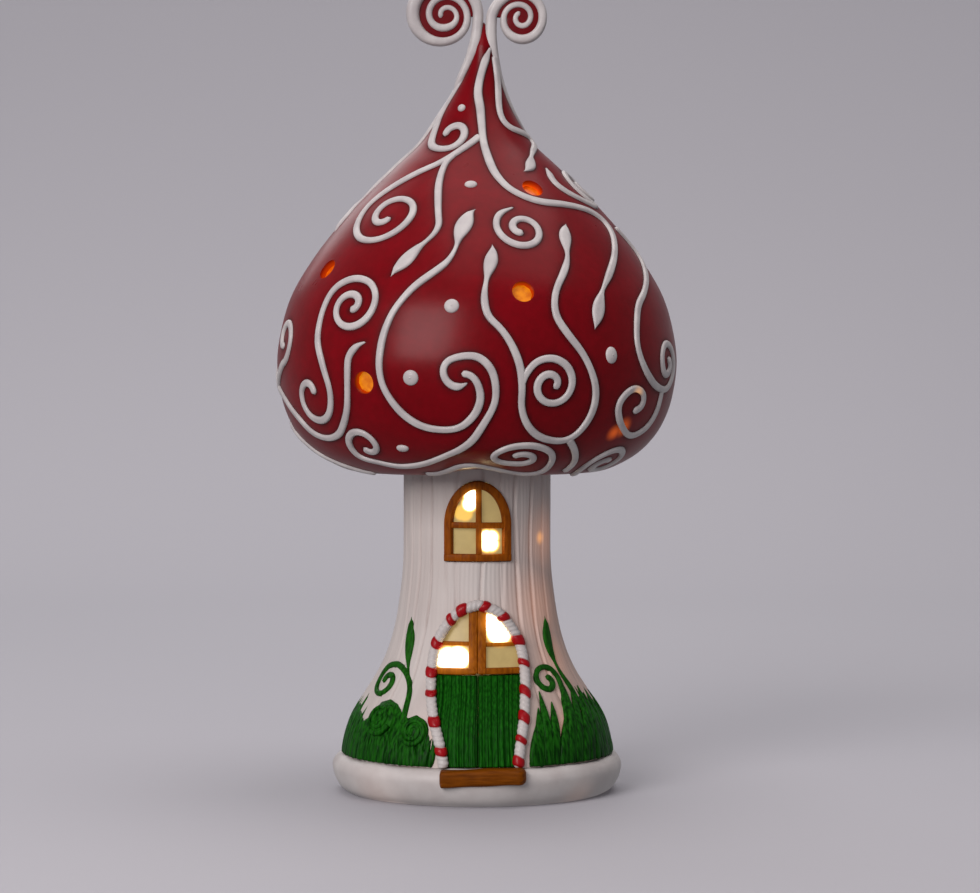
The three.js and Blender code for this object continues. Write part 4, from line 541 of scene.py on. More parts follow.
# %% The scrolls
SCROLLS = {
    "scroll_heart": [dict(
        stem=[(-1.6, 0.647), (-3.6, 0.625), (-6.1, 0.591), (-7, 0.562), (-9.4, 0.533), (-13.8, 0.51),
              (-18.1, 0.489), (-21.3, 0.467), (-24.4, 0.438), (-26.3, 0.404), (-27.1, 0.371),
              (-27.2, 0.343), (-26.3, 0.316), (-23.9, 0.29), (-20.6, 0.267), (-16, 0.249),
              (-10, 0.242), (-4.5, 0.247), (-0.5, 0.269), (1.1, 0.291), (1.1, 0.309), (-0.1, 0.328),
              (-1.9, 0.337), (-4, 0.338)],
        leaf_first=21, leaf_width=7, hook=(1.3, 0))],
    "scroll_long_tail": [dict(
        stem=[(-2.3, 0.323), (-4, 0.317), (-5.9, 0.316), (-8.1, 0.326), (-9, 0.342), (-7.7, 0.359),
              (-3.1, 0.367), (1, 0.364), (4.2, 0.344), (5.4, 0.315), (5, 0.286), (2, 0.251),
              (-2, 0.216), (-9, 0.188), (-19, 0.16), (-29, 0.151), (-37, 0.163)],
        last=((-37.5, 0.206), 225, -1.05, 10, 2.2), tail_first=5)],
    "scroll_left": [dict(
        first=((-39.1, 0.45), 180, -1.75, 15.6, 1.8, 0.9), stem=[(-50.5, 0.395), (-47.5, 0.352)],
        last=((-54.5, 0.298), 10, -1, 13.5, 2.8))],
    "scroll_left_low": [dict(
        stem=[(-31.9, 0.389), (-34.6, 0.383), (-37.3, 0.365), (-37.8, 0.338), (-38.6, 0.302),
              (-39.8, 0.276), (-42.5, 0.252), (-47, 0.229), (-54, 0.22), (-61, 0.23), (-67, 0.258),
              (-76, 0.292), (-88, 0.318), (-97, 0.35)], tail_first=7),
        dict(stem=[(-84, 0.31), (-73, 0.348)], last=((-72.5, 0.392), 300, 0.95, 10, 2.6))],
    "scroll_lyre": [dict(
        stem=[(6.2, 0.567), (4.9, 0.535), (3.8, 0.513), (2.8, 0.487), (2.4, 0.46), (3.4, 0.433),
              (6.5, 0.414), (9.1, 0.392), (11.1, 0.366), (12.2, 0.342), (12.7, 0.31), (12.7, 0.285),
              (14.2, 0.258), (17.3, 0.236), (21.5, 0.223), (27.5, 0.219), (31.4, 0.231),
              (34.1, 0.256), (35.3, 0.283), (35, 0.312), (33.1, 0.341), (30.1, 0.372), (26.3, 0.401),
              (23.3, 0.43), (23.1, 0.456), (24.9, 0.483), (29.3, 0.517), (32.3, 0.544), (34.2, 0.576),
              (37.8, 0.615)],
        leaf_first=18, leaf_last=17, leaf_width=5.6, hook=(-0.7, -0.9)),
        dict(stem=[(12.5, 0.318)], last=((21, 0.319), 165, -1.6, 12, 2)),
        dict(stem=[(29, 0.224), (34, 0.194), (37.5, 0.16), (38, 0.128)])],
    "scroll_small": [dict(last=((17.8, 0.601), 95, 1.5, 11.9, 2.2), tail_first=9)],
    "scroll_right": [dict(
        stem=[(76, 0.61), (79.5, 0.578), (79.5, 0.542), (70.6, 0.504), (62, 0.474), (55.5, 0.45),
              (52.1, 0.416), (51, 0.381), (53.3, 0.349), (59.1, 0.32)],
        last=((68.5, 0.352), 250, 1.5, 11.5, 2)),
        dict(stem=[(66, 0.312), (65.9, 0.285), (65.3, 0.26), (62.2, 0.236), (55.2, 0.225),
                   (47.8, 0.249), (44.4, 0.28), (46.6, 0.302), (50.6, 0.311), (54.8, 0.301),
                   (55.3, 0.28), (51.6, 0.271)])],
    "scroll_rim_front": [dict(
        stem=[(-22, 0.118), (-17, 0.112), (-11, 0.125), (-6, 0.142), (-1, 0.142), (5, 0.126),
              (14, 0.108), (22, 0.108), (27.5, 0.13)],
        last=((14.5, 0.178), -10, 1.5, 15, 2.5, 0.62))],
    "scroll_rim_right": [dict(stem=[(50, 0.1), (46, 0.13)], last=((55, 0.155), 165, -1.3, 11, 2.5))],
    "scroll_rim_left": [dict(
        stem=[(-50, 0.11), (-60, 0.135), (-71, 0.175), (-82, 0.22), (-92, 0.24)],
        last=((-97, 0.2), 70, 1.2, 11, 2.5))],
    "scroll_back_heart": [dict(
        stem=[(-172, 0.58), (-166, 0.53), (-155, 0.485), (-146, 0.455), (-140, 0.425)],
        last=((-153, 0.345), 38, -1.5, 23, 3), leaf_first=18, hook=(1.0, 0))],
    "scroll_back_lyre": [dict(
        first=((161, 0.36), 195, -1.5, 15, 2.5),
        stem=[(149, 0.315), (150, 0.28), (155, 0.245), (163, 0.226), (172, 0.232), (178, 0.27),
              (179, 0.33), (176, 0.4), (170, 0.46)],
        leaf_last=18, hook=(0, 1.0))],
    "scroll_back_right": [dict(
        stem=[(114, 0.6), (113, 0.54), (118, 0.48), (122, 0.42), (122, 0.365)],
        last=((108.5, 0.305), 28, -1.45, 18, 3), leaf_first=18, hook=(1.0, 0))],
    "scroll_back_left": [dict(
        stem=[(-116, 0.58), (-108, 0.54), (-102, 0.5), (-99.5, 0.45)],
        last=((-112, 0.4), 22, -1.4, 17, 3), leaf_first=18, hook=(1.0, 0))],
    "scroll_rim_back": [dict(
        first=((-165, 0.172), -25, 1.3, 13, 2.5), stem=[(-152, 0.14), (-144, 0.132), (-135, 0.14)],
        last=((-123, 0.178), 212, 1.2, 12, 2.5))],
    "vine_neck_left": [dict(
        stem=[(-84, 0.985), (-83, 0.94), (-76, 0.895), (-64, 0.855), (-55.4, 0.825), (-48, 0.807),
              (-34.5, 0.796), (-22.4, 0.799), (-14.5, 0.819), (-14, 0.839), (-22.1, 0.85),
              (-36, 0.842), (-37, 0.827)],
        fatten=0.3),
        dict(stem=[(-76, 0.9), (-84, 0.84), (-90, 0.78), (-91, 0.72), (-87, 0.67),
                   (-79, 0.6)], leaf_last=20),
        dict(stem=[(-84, 0.955), (-105, 0.94), (-125, 0.9), (-143, 0.84), (-152, 0.785),
                   (-156, 0.755)],
             last=((-166, 0.71), 62, -1.4, 14, 2.6))],
    "vine_neck_right": [dict(
        stem=[(34, 0.999), (8.1, 0.978), (-1.4, 0.96), (-5, 0.941), (-3.7, 0.917), (4.6, 0.887),
              (6.4, 0.855), (6.5, 0.823), (8.3, 0.781), (10.7, 0.741), (13.8, 0.714), (17.6, 0.693),
              (24.2, 0.674), (32.1, 0.663), (42.3, 0.659), (52.8, 0.653), (61, 0.643), (66.5, 0.625),
              (65.9, 0.6), (61.2, 0.574), (55, 0.545), (48.2, 0.514), (41.5, 0.48), (38.3, 0.453),
              (35.1, 0.41)],
        leaf_last=19, leaf_width=6, fatten=0.15, tail_first=7),
        dict(stem=[(4, 0.828), (-9.9, 0.801), (-19.4, 0.777), (-27.7, 0.757), (-40.5, 0.733)],
             last=((-41.2, 0.634), 118, 1.58, 19.7, 3.0, 0.9)),
        dict(stem=[(-17.5, 0.781), (-21.4, 0.765), (-22.2, 0.742), (-20.9, 0.707), (-18.4, 0.67),
                   (-15.9, 0.63), (-14.8, 0.61), (-15.8, 0.591), (-18.7, 0.572), (-21.7, 0.553),
                   (-24.1, 0.534), (-28.1, 0.506)],
             leaf_last=20, hook=(0, 0.8)),
        dict(stem=[(52, 0.985), (52.4, 0.961), (50.5, 0.936), (44.2, 0.912), (38.5, 0.884),
                   (38.3, 0.86), (46, 0.845), (61, 0.838), (79, 0.829), (78, 0.813), (59.2, 0.795),
                   (46.6, 0.775), (40.3, 0.755),
                   (32.4, 0.735)], leaf_last=14, leaf_width=4.8, hook=(0, -1.2)),
        dict(stem=[(66, 0.97), (76, 0.94), (88, 0.9), (98, 0.86), (107, 0.81), (112, 0.775)],
             last=((125, 0.72), 138, 1.4, 13.5, 2.6)),
        dict(stem=[(72, 0.655), (55.5, 0.684), (49.4, 0.713), (54, 0.75)], tail_last=6),
        dict(stem=[(74, 0.652)], last=((82, 0.7), 235, -1.45, 12, 2.4))],
}
scroll_pieces = [
    ready(put(f"{name}_fine", *gather([vine(cap, **branch) for branch in branches])), "scroll_white",
          name)
    for name, branches in SCROLLS.items()]
print("scrolls:", len(scroll_pieces),
      "length in mm:", round(sum(along(line[:, :3])[-1] for line in vine_lines)))

# %% [markdown]
# Small white dots sit between the scrolls, each a low dome pressed on the cap. A UV sphere would do,
# cut by the surface, but a dome from a grid of angle and ring needs no cut and has a rim that meets
# the cap.

# %% Dots on the cap
DOTS = [(-27, 0.885, 1.7, 1.7), (-3, 0.704, 2.6, 1.9), (-7, 0.45, 3.0, 2.9), (-18, 0.331, 3.2, 3.1),
        (-24, 0.203, 2.7, 1.7), (40, 0.367, 2.9, 3.4), (170, 0.5, 3.0, 3.0), (-165, 0.62, 2.4, 2.4)]


def tube(rings, first, last):
    """Closed surface through rings of points, with a fan of faces at each end to one point."""
    count, sides = rings.shape[:2]
    k = np.arange(sides)
    after, top = (k + 1) % sides, (count - 1) * sides
    fans = [np.stack([after, k, np.full(sides, count * sides)], axis=1),
            np.stack([top + k, top + after, np.full(sides, count * sides + 1)], axis=1)]
    return (np.vstack([rings.reshape(-1, 3), first, last]),
            grid_quads(count, sides, wrap_columns=True), np.vstack(fans))


def dome(surface, azimuth, share, half_width, half_height, high=1.25):
    """Low dome: rings shrink as the cosine and rise as the sine of the angle up from the rim."""
    ring = np.linspace(-0.25, np.pi / 2, 9)[:, None]
    turn = np.linspace(0, 2 * np.pi, 28, endpoint=False)[None]
    centre, out = surface.point(azimuth, share), surface.normal(azimuth, share)
    right = np.array([np.cos(np.radians(azimuth)), np.sin(np.radians(azimuth)), 0])
    upward = np.cross(out, right)
    upward *= np.sign(upward[2])
    flat = np.cos(np.maximum(ring, 0)) + 0.001
    rings = (centre + right * (flat * np.cos(turn) * half_width)[..., None]
             + upward * (flat * np.sin(turn) * half_height)[..., None]
             + out * (high * np.sin(ring) + 0 * turn)[..., None])
    return tube(rings, centre - out * 0.4, centre + out * (high + 0.01))


dots = ready(put("cap_dots", *gather([dome(cap, *dot) for dot in DOTS])), "scroll_white")
print("dots:", len(DOTS))

# %% [markdown]
# The cap itself is a thick shell with round light holes bored square to its surface. The shell is one
# closed profile turned round the axis: up the inside, over the lip and up the outside. The holes are
# cut by a Boolean modifier whose cutter has rings along its length, so that the wall of each hole has
# points of its own, and the painted glow that falls off down the bore can be kept on them.

# %% Cap shell
HOLES = {"front_top": (31, 0.697), "front_middle": (14, 0.476), "front_low": (-32.5, 0.322),
         "left": (-58, 0.52), "back_right": (148, 0.55), "back_left": (-140, 0.38)}
HOLE_RADIUS, CAP_WALL, CAP_MOUTH, WEDGE_HEIGHT = 4.5, 5.0, 26.5, 10.5
CUTTER_FROM, CUTTER_TO = -8.0, 4.0


def turned_shell(surface, shares, inner_shares, wall, mouth, sides=264):
    """Closed shell: inner rows from roof to mouth, outer rows from lip to tip, and on the tip a wedge
    whose half width falls as a power of the height that is left, more slowly from front to back."""
    azimuth = np.linspace(0, 360, sides, endpoint=False)
    outer = surface.point(azimuth, shares[:, None])
    inner = surface.point(azimuth, inner_shares[::-1, None], -wall)
    floor = round_axis(mouth, azimuth, inner[-1, 0, 2])[None]
    left = np.linspace(1, 0.02, 16)[1:, None]
    middle = outer[-1].mean(axis=0)
    reach = outer[-1] - middle
    wedge = points_at(middle[0] + reach[:, 0] * left ** 0.9, reach[:, 1] * left ** 0.6,
                      middle[2] + WEDGE_HEIGHT * (1 - left))
    rings = np.concatenate([inner, floor, outer, wedge])
    return tube(rings, rings[0].mean(axis=0), rings[-1].mean(axis=0))


def outward(piece):
    """Joins points that lie on each other and turns a closed mesh's faces outwards."""
    shape = bmesh.new()
    shape.from_mesh(piece.data)
    bmesh.ops.remove_doubles(shape, verts=shape.verts, dist=1e-7)
    bmesh.ops.recalc_face_normals(shape, faces=shape.faces)
    shape.to_mesh(piece.data)
    shape.free()
    piece.data.update()
    return piece


def rod(centre, out, low, high, radius, rings=13, sides=40):
    """Closed cylinder along out, from low to high off the centre, with rings along its length."""
    side = unit(np.cross(out, [0, 0, 1.0]))
    turn = np.linspace(0, 2 * np.pi, sides, endpoint=False)[:, None]
    spoke = np.cos(turn) * side + np.sin(turn) * np.cross(out, side)
    level = np.linspace(low, high, rings)[:, None, None]
    return tube(centre + level * out + radius * spoke, centre + low * out, centre + high * out)


def carve(piece, shells):
    """Cuts closed shells out of a piece by a Boolean modifier and removes the cutter."""
    cutter = outward(put("cutter", *gather(shells)))
    modifier = piece.modifiers.new("carve", "BOOLEAN")
    modifier.operation, modifier.object, modifier.solver = "DIFFERENCE", cutter, "EXACT"
    depsgraph = bpy.context.evaluated_depsgraph_get()
    cut = bpy.data.meshes.new_from_object(piece.evaluated_get(depsgraph))
    piece.modifiers.clear()
    old, used = piece.data, cutter.data
    piece.data = cut
    bpy.data.objects.remove(cutter)
    for mesh in (old, used):
        bpy.data.meshes.remove(mesh)


def smooth_but_edges(piece, degrees=40):
    """Smooth shading, with creases kept where faces meet more steeply than the angle."""
    piece.data.polygons.foreach_set("use_smooth", np.ones(len(piece.data.polygons), bool))
    piece.data.set_sharp_from_angle(angle=np.radians(degrees))


def points_of(piece):
    """All points of a piece in mm, as one array."""
    spots = np.empty(len(piece.data.vertices) * 3)
    piece.data.vertices.foreach_get("co", spots)
    return spots.reshape(-1, 3) / MM


outer_shares = np.concatenate([np.linspace(0, 0.7, 150, endpoint=False), np.linspace(0.7, 1, 60)])
inner_shares = np.concatenate([[0.085], np.linspace(0.1, 0.86, 46)])
cap_piece = outward(put("cap_fine", *turned_shell(cap, outer_shares, inner_shares, CAP_WALL,
                                                  CAP_MOUTH)))
carve(cap_piece, [rod(cap.point(*spot), cap.normal(*spot), CUTTER_FROM, CUTTER_TO, HOLE_RADIUS)
                  for spot in HOLES.values()])
spots = points_of(cap_piece)
print("cap points:", len(spots), "with", len(HOLES), "light holes")

# %% [markdown]
# The cap's paint needs two numbers at each point. One tells how near the point lies to a scroll,
# where the gloss is broken and the red is darker as painted shade: an exponential of the distance.
# The other tells how deep the point lies down a hole, because the bore carries a painted glow that
# grows towards the lamp inside.

# %% Shade beside the scrolls and glow down the holes
FAR, AT_ONCE, SHADE_REACH = 99.0, 1500, 0.9
to_vine = np.full(len(spots), FAR)
lines = np.vstack(vine_lines)[::2]
for start in range(0, len(spots), AT_ONCE):
    part = spots[start:start + AT_ONCE]
    away = np.linalg.norm(part[:, None] - lines[None, :, :3], axis=2) - lines[None, :, 3] / 2
    to_vine[start:start + AT_ONCE] = away.min(axis=1)
bore = np.zeros(len(spots))
for spot in HOLES.values():
    centre, out = cap.point(*spot), cap.normal(*spot)
    reach = (spots - centre) @ out
    off = np.linalg.norm(spots - centre - reach[:, None] * out, axis=1)
    inside = (off < HOLE_RADIUS + 0.05) & (reach < 0.6) & (reach > CUTTER_FROM - 1)
    bore = np.where(inside, np.clip(-reach / CAP_WALL, 0.05, 1), bore)
keep_value(cap_piece, "shade", np.exp(-np.clip(to_vine, 0, None) / SHADE_REACH))
keep_value(cap_piece, "bore", bore)
smooth_but_edges(cap_piece)
ready(cap_piece, "cap_red", "cap_shell")
print("points in a bore:", int((bore > 0).sum()))

# %% [markdown]
# The tip ends in two curls that stand free. Each is a thick white band wound inwards round a thin red
# web. The band is a rounded section carried along a flat spiral, and it narrows as it winds in. The
# stem of each curl rises out of the neck's vines, so its path begins on the neck.

# %% The two curls of the tip
CAP_TOP = CAP_SEAT + CAP_HEIGHT
CURLS = {
    "left": dict(
        x=-13.0, above=12.9, side=1,
        stem=[(-9.8, 291.5, 1.2), (-7.0, 297.9, 3.2), (-3.4, 305.6, 3.9), (-1.5, 310.2, 4.9),
              (-0.3, 315.1, 4.8), (0.2, 320.0, 4.5)],
        wind=[(0, 13.5, 4.5), (0.25, 14.0, 5.4), (0.5, 13.7, 5.6), (0.75, 10.5, 3.6), (1, 9.0, 3.2),
              (1.25, 8.1, 3.2), (1.5, 6.9, 3.1), (1.75, 4.9, 3.5), (2, 4.6, 2.6), (2.25, 3.4, 2.6),
              (2.6, 1.4, 2.6)]),
    "right": dict(
        x=18.7, above=12.6, side=-1,
        stem=[(11.8, 291.5, 1.2), (9.3, 297.9, 2.9), (8.2, 303.5, 3.5), (6.6, 309.5, 4.7),
              (6.0, 315.1, 4.8), (5.9, 319.5, 4.8)],
        wind=[(0, 12.5, 4.6), (0.12, 10.7, 4.3), (0.25, 9.5, 4.0), (0.5, 8.8, 3.8), (0.75, 9.3, 4.0),
              (1, 7.4, 2.9), (1.25, 4.9, 2.9), (1.5, 3.8, 2.7), (1.75, 3.8, 2.7), (2, 2.4, 2.6),
              (2.25, 1.2, 2.5)]),
}
WEB_SHARES = np.array([0.02, 0.3, 0.6, 0.85, 1.0, 1.0, 0.85, 0.6, 0.3, 0.02])[:, None]
WEB_HALF, WEB_INSET, WEB_SIDES = 2.2, 0.9, 96
WEB_DEPTHS = WEB_HALF * np.array([-1, -1, -1, -1, -0.92, 0.92, 1, 1, 1, 1])[:, None]


def spiral(turn, radius, x, above, side):
    """Points in the X-Z plane at a radius and a number of turns round the curl's middle."""
    angle = 2 * np.pi * turn
    return np.stack([x + side * radius * np.cos(angle), CAP_TOP + above + radius * np.sin(angle)],
                    axis=-1)


def rounded(count, power):
    """Closed section with soft corners: cosine and sine, each to the power of two over power."""
    turn = np.linspace(0, 2 * np.pi, count, endpoint=False)
    return np.stack([np.sign(wave) * np.abs(wave) ** (2 / power) for wave in (np.cos(turn),
                                                                              np.sin(turn))],
                    axis=1)


def swept(places, side, up, half_wide, half_deep, section):
    """Closed bar: the section is carried along the places, spread on side and up at each of them."""
    side, up = (np.asarray(way)[..., None, :] for way in (side, up))
    rings = (places[:, None] + side * (section[:, :1] * half_wide[:, None, None])
             + up * (section[:, 1:] * half_deep[:, None, None]))
    return tube(rings, places[0], places[-1])


def round_ends(run, reach):
    """Share of full size near both ends of a bar, so that it closes in a half circle."""
    return half_round(np.minimum(run, run[-1] - run) / reach)


def curl_band(keys, wind, **middle):
    """Band of a curl: a soft square section carried up the neck and round the spiral, half as wide
    and about as deep as the width written with each point."""
    turn, radius, band = wind.T
    line = through(np.vstack([keys, np.column_stack([spiral(turn, radius, **middle), band])]), 1400)
    even, line = evenly(line, along(line[:, :2]), 330)
    x, z, band = line.T
    places = points_at(x, 0, z)
    forward = (0.0, 1.0, 0.0)
    side = unit(np.cross(np.gradient(places, axis=0), forward))
    ends = round_ends(even, 1.4)
    return swept(places, side, forward, band / 2 * ends, (1.2 + 0.62 * band) * ends, rounded(32, 3.0))


def curl_web(wind, x, above, side):
    """Disc inside a curl: its rim is the spiral's first turn, a little drawn in, and its rings shrink
    to the middle of both faces."""
    once = np.linspace(0, 1, WEB_SIDES, endpoint=False)
    middle = np.array([x, CAP_TOP + above])
    rim = spiral(once, np.interp(once, wind[:, 0], wind[:, 1]) - WEB_INSET, x, above, side) - middle
    rings = points_at(middle[0] + WEB_SHARES * rim[:, 0], WEB_DEPTHS, middle[1] + WEB_SHARES * rim[:,
                                                                                                   1])
    return tube(rings, [middle[0], -WEB_HALF, middle[1]], [middle[0], WEB_HALF, middle[1]])


def dress(node, shell, slot, **values):
    """Makes one closed shell into the finished piece that stands for the solid of that name."""
    return ready(outward(put(f"{node}_fine", *shell, **values)), slot, node)


discs = []
for which, form in CURLS.items():
    middle = {key: form[key] for key in ("x", "above", "side")}
    wind = through(form["wind"], 64)
    scroll_pieces.append(dress(f"tip_curl_{which}", curl_band(form["stem"], wind, **middle),
                               "scroll_white"))
    discs.append(dress(f"curl_web_{which}", curl_web(wind, **middle), "cap_red"))
print("curls:", list(CURLS))

# %% [markdown]
# The stem is fluted like bark or pleated cloth: narrow grooves run up it at uneven spaces, and each
# panel between two grooves tilts a little, so that one edge stands higher than the next. A radius
# worked out from azimuth and height gives all of it at once, and the window and the doorway are cut
# out with arched cutters.

# %% Stem
GROOVES = np.array([-59.5, -49.7, -38.6, -24.2, -14.7, 3.8, 18.6, 32.2, 46.8, 61, 75, 90, 104, 119,
                    132, 147,
                    160, 175, 189, 204, 218, 231, 246, 259, 273, 287])
maker = np.random.default_rng(7)
GROOVE_DEPTH = 0.32 + 0.36 * maker.random(len(GROOVES))
PANEL_TILT = 0.6 * (maker.random(len(GROOVES)) - 0.5)
GROOVE_REACH, RIDGE_SHARE, RIDGE_OFF = 0.6, 0.45, 1.3


def flutes(azimuth, height):
    """Depth off the stem: panels tilt between grooves, and each groove wanders up the stem as a
    narrow dip with a low ridge beside it, both bell curves of the distance from it."""
    azimuth, height = np.broadcast_arrays(np.asarray(azimuth, float), np.asarray(height, float))
    turn = (azimuth - GROOVES[0]) % 360 + GROOVES[0]
    depth = np.zeros(turn.shape)
    radius = stem.radius(stem.share_at(height))
    for k, middle in enumerate(GROOVES):
        wander = middle + 1.3 * np.sin(height / 23 + 1.7 * k) + 0.5 * np.sin(height / 7 + k)
        gap = ((turn - wander + 180) % 360 - 180) * np.pi / 180 * radius
        depth -= GROOVE_DEPTH[k] * np.exp(-(gap / GROOVE_REACH) ** 2)
        depth += RIDGE_SHARE * GROOVE_DEPTH[k] * np.exp(-((gap - RIDGE_OFF) / GROOVE_REACH) ** 2)
    edges = np.append(GROOVES, GROOVES[0] + 360)
    panel = np.clip(np.searchsorted(edges, turn, side="right") - 1, 0, len(GROOVES) - 1)
    share = (turn - edges[panel]) / (edges[panel + 1] - edges[panel])
    depth += PANEL_TILT[panel] * (share - 0.5) + 0.16 * np.sin(np.pi * np.clip(share, 0, 1))
    depth += 0.05 * np.sin(azimuth * 1.9 + 2 * np.sin(height / 11))
    return depth - 0.1


def on_stem(x, z, offset):
    """Point of the stem's front that is seen at x and z: its depth is the root of the squared radius,
    offset outwards, less x squared."""
    radius = stem.radius(stem.share_at(z)) + offset
    return points_at(x, -np.sqrt(np.maximum(radius ** 2 - x ** 2, 0.01)), z)


DOOR_CENTRE, DOOR_HALF, DOOR_CROWN, DOOR_RAIL = 0.6, 18.2, 63.6, 52.2
LEFT_FOOT, FOOT_RISE = 2.3, 30
DOOR_SIDE = [(0, 0.83), (0.14, 0.89), (0.3, 0.97), (0.46, 1), (0.6, 0.985), (0.75, 0.88),
             (0.88, 0.62), (0.96, 0.34), (1, 0)]


def door_side(inset=0.0, count=60):
    """Right side of the doorway from foot to crown: drawn in at the foot, widest at mid height."""
    keys = np.array([(max(0, DOOR_HALF * w - inset * min(1, 3 * w)),
                      STEM_FOOT + (DOOR_CROWN - inset) * h) for h, w in DOOR_SIDE])
    return through(keys, count)


def foot_shift(z):
    """How far the doorway's left side is drawn in towards its foot, by a soft step of the height."""
    return LEFT_FOOT * (1 - step_up(z, STEM_FOOT, STEM_FOOT + FOOT_RISE))


def door_arch(inset=0.0, count=60):
    """Outline of the doorway from its left foot over the crown to its right foot."""
    right = door_side(inset, count)
    left = right[:-1] * [-1, 1]
    left[:, 0] += foot_shift(left[:, 1])
    return np.vstack([left, right[::-1]]) + [DOOR_CENTRE, 0]


def prism(outline, near=0.0, far=75.0):
    """Closed block of an outline in X and Z, reaching from near to far towards the front."""
    rings = np.stack([points_at(outline[:, 0], -depth, outline[:, 1]) for depth in (near, far)])
    return tube(rings, *rings.mean(axis=1))


WINDOW = dict(half=13.2, sill=98.2, springing=113.2, rise=18.1)
WINDOW_SHIFT = 0.4


def arch(half, sill, springing, rise, inset=0.0, sides=12, count=40):
    """Arched outline from the left foot over the top to the right foot: straight sides, then half an
    ellipse."""
    up = np.linspace(0, 1, sides, endpoint=False)
    turn = np.linspace(np.pi, 0, count)
    left = np.stack([np.full(sides, -half + inset), sill + inset + up * (springing - sill - inset)],
                    axis=1)
    top = np.stack([(half - inset) * np.cos(turn), springing + (rise - inset) * np.sin(turn)], axis=1)
    return np.vstack([left, top, left[::-1] * [-1, 1]]) + [WINDOW_SHIFT, 0]


STEM_SIDES, STEM_ROWS, STEM_WALL, GROOVE_FULL = 600, 92, 4.5, 0.7
azimuth = np.linspace(-180, 180, STEM_SIDES, endpoint=False)
heights = np.linspace(STEM_FOOT, STEM_TOP, STEM_ROWS)[:, None]
plain = stem.radius(stem.share_at(heights))
rows = np.concatenate([round_axis(plain + flutes(azimuth, heights), azimuth, heights),
                       round_axis((plain - STEM_WALL)[::-3], azimuth, heights[::-3])])
stem_piece = outward(put("stem_fine", rows, grid_quads(len(rows), STEM_SIDES, wrap_rows=True,
                                                       wrap_columns=True)))
carve(stem_piece, [prism(arch(**WINDOW, inset=-0.3)), prism(door_arch(-0.3))])
spots = points_of(stem_piece)
dip = flutes(np.degrees(np.arctan2(spots[:, 0], -spots[:, 1])), spots[:, 2])
keep_value(stem_piece, "groove", np.clip(-dip / GROOVE_FULL, 0, 1))
smooth_but_edges(stem_piece)
ready(stem_piece, "stem_white", "stem_shell")
print("stem points:", len(spots))

# %% [markdown]
# Frames, boards and panes all lie on the curved front of the stem, so each is described flat, in X
# and height, and then laid on the curve at its own depth. A frame bar is a rounded section carried
# along its line; a board or a pane is a slab between a front grid and a back grid.

# %% Bars and slabs on the curved front
BAR_PACE = 0.7


def laid_on_stem(line, offset, count=None):
    """A flat line read in even steps and laid on the stem: its run, its X and Z, its places, and the
    ways outward and sideways at each of them."""
    run = along(line)
    even, line = evenly(line, run, count or max(16, int(run[-1] / BAR_PACE)))
    places = on_stem(*line.T, offset)
    out = unit(places * [1, 1, 0])
    return even, line, places, out, unit(np.cross(np.gradient(places, axis=0), out))


def bar_on_stem(line, width, back, front, power=7.0):
    """Bar whose middle line is given in X and Z, from back to front off the stem's surface."""
    even, _, places, out, side = laid_on_stem(np.array(line), (back + front) / 2)
    ends = round_ends(even, 0.5)
    return swept(places, side, out, width / 2 * ends, (front - back) / 2 * ends, rounded(24, power))


def slab(front, back):
    """Closed slab between two grids of one size: a front, a back and the wall round their edges."""
    rows, columns = front.shape[:2]
    count = rows * columns
    index = np.arange(count).reshape(rows, columns)
    rim = np.concatenate([index[0, :-1], index[:-1, -1], index[-1, :0:-1], index[:0:-1, 0]])
    after = np.roll(rim, -1)
    walls = np.stack([rim, rim + count, after + count, after], axis=1)
    quads = grid_quads(rows, columns)
    return (np.vstack([front.reshape(-1, 3), back.reshape(-1, 3)]),
            np.vstack([quads, quads[:, ::-1] + count, walls]), np.empty((0, 3), int))


def waves(count, low, high, seed):
    """Sum of sines whose numbers of waves per mm, sizes and starts are drawn once from a seed."""
    draw = np.random.default_rng(seed)
    rate = np.exp(draw.uniform(np.log(low), np.log(high), count))
    start = draw.uniform(0, 2 * np.pi, count)
    size = draw.uniform(0.5, 1, count) / count ** 0.5
    return lambda value: (np.sin(np.asarray(value)[..., None] * rate + start) * size).sum(axis=-1)


SILL = [(WINDOW_SHIFT - 13.5, WINDOW["sill"] + 1.5), (WINDOW_SHIFT + 13.5, WINDOW["sill"] + 1.5)]
WINDOW_BARS = [(arch(**WINDOW, inset=1.7), 3.4, -4.0, 1.5), (SILL, 3.1, -4.0, 1.6),
               ([(0.9, 99.5), (0.8, 129.5)], 2.5, -3.6, 1.0),
               ([(-12, 113.1), (12.6, 112.9)], 2.5, -3.6, 1.0)]
DOOR_BARS = [(door_arch(-0.4)[22:-22], 2.0, -4.0, 0.3, 4.0),
             ([(-1.4, 52.1), (-1.35, 78.6)], 3.7, -4.0, 0.9),
             ([(2.1, 52.1), (2.05, 78.6)], 3.6, -4.0, 0.9),
             ([(-17.6, 64.6), (-2, 64.6)], 1.7, -3.6, 0.3),
             ([(3.2, 64.2), (18.6, 64.2)], 1.7, -3.6, 0.3),
             ([(-17.6, 53.6), (0.2, 53.6)], 2.7, -4.0, 0.7),
             ([(0.7, 53.7), (18.7, 53.7)], 2.6, -4.0, 0.7)]
window_frame, door_frame = (
    dress(node, gather([bar_on_stem(*bar) for bar in bars]), "frame_brown")
    for node, bars in (("window_frame", WINDOW_BARS), ("door_window_frame", DOOR_BARS)))


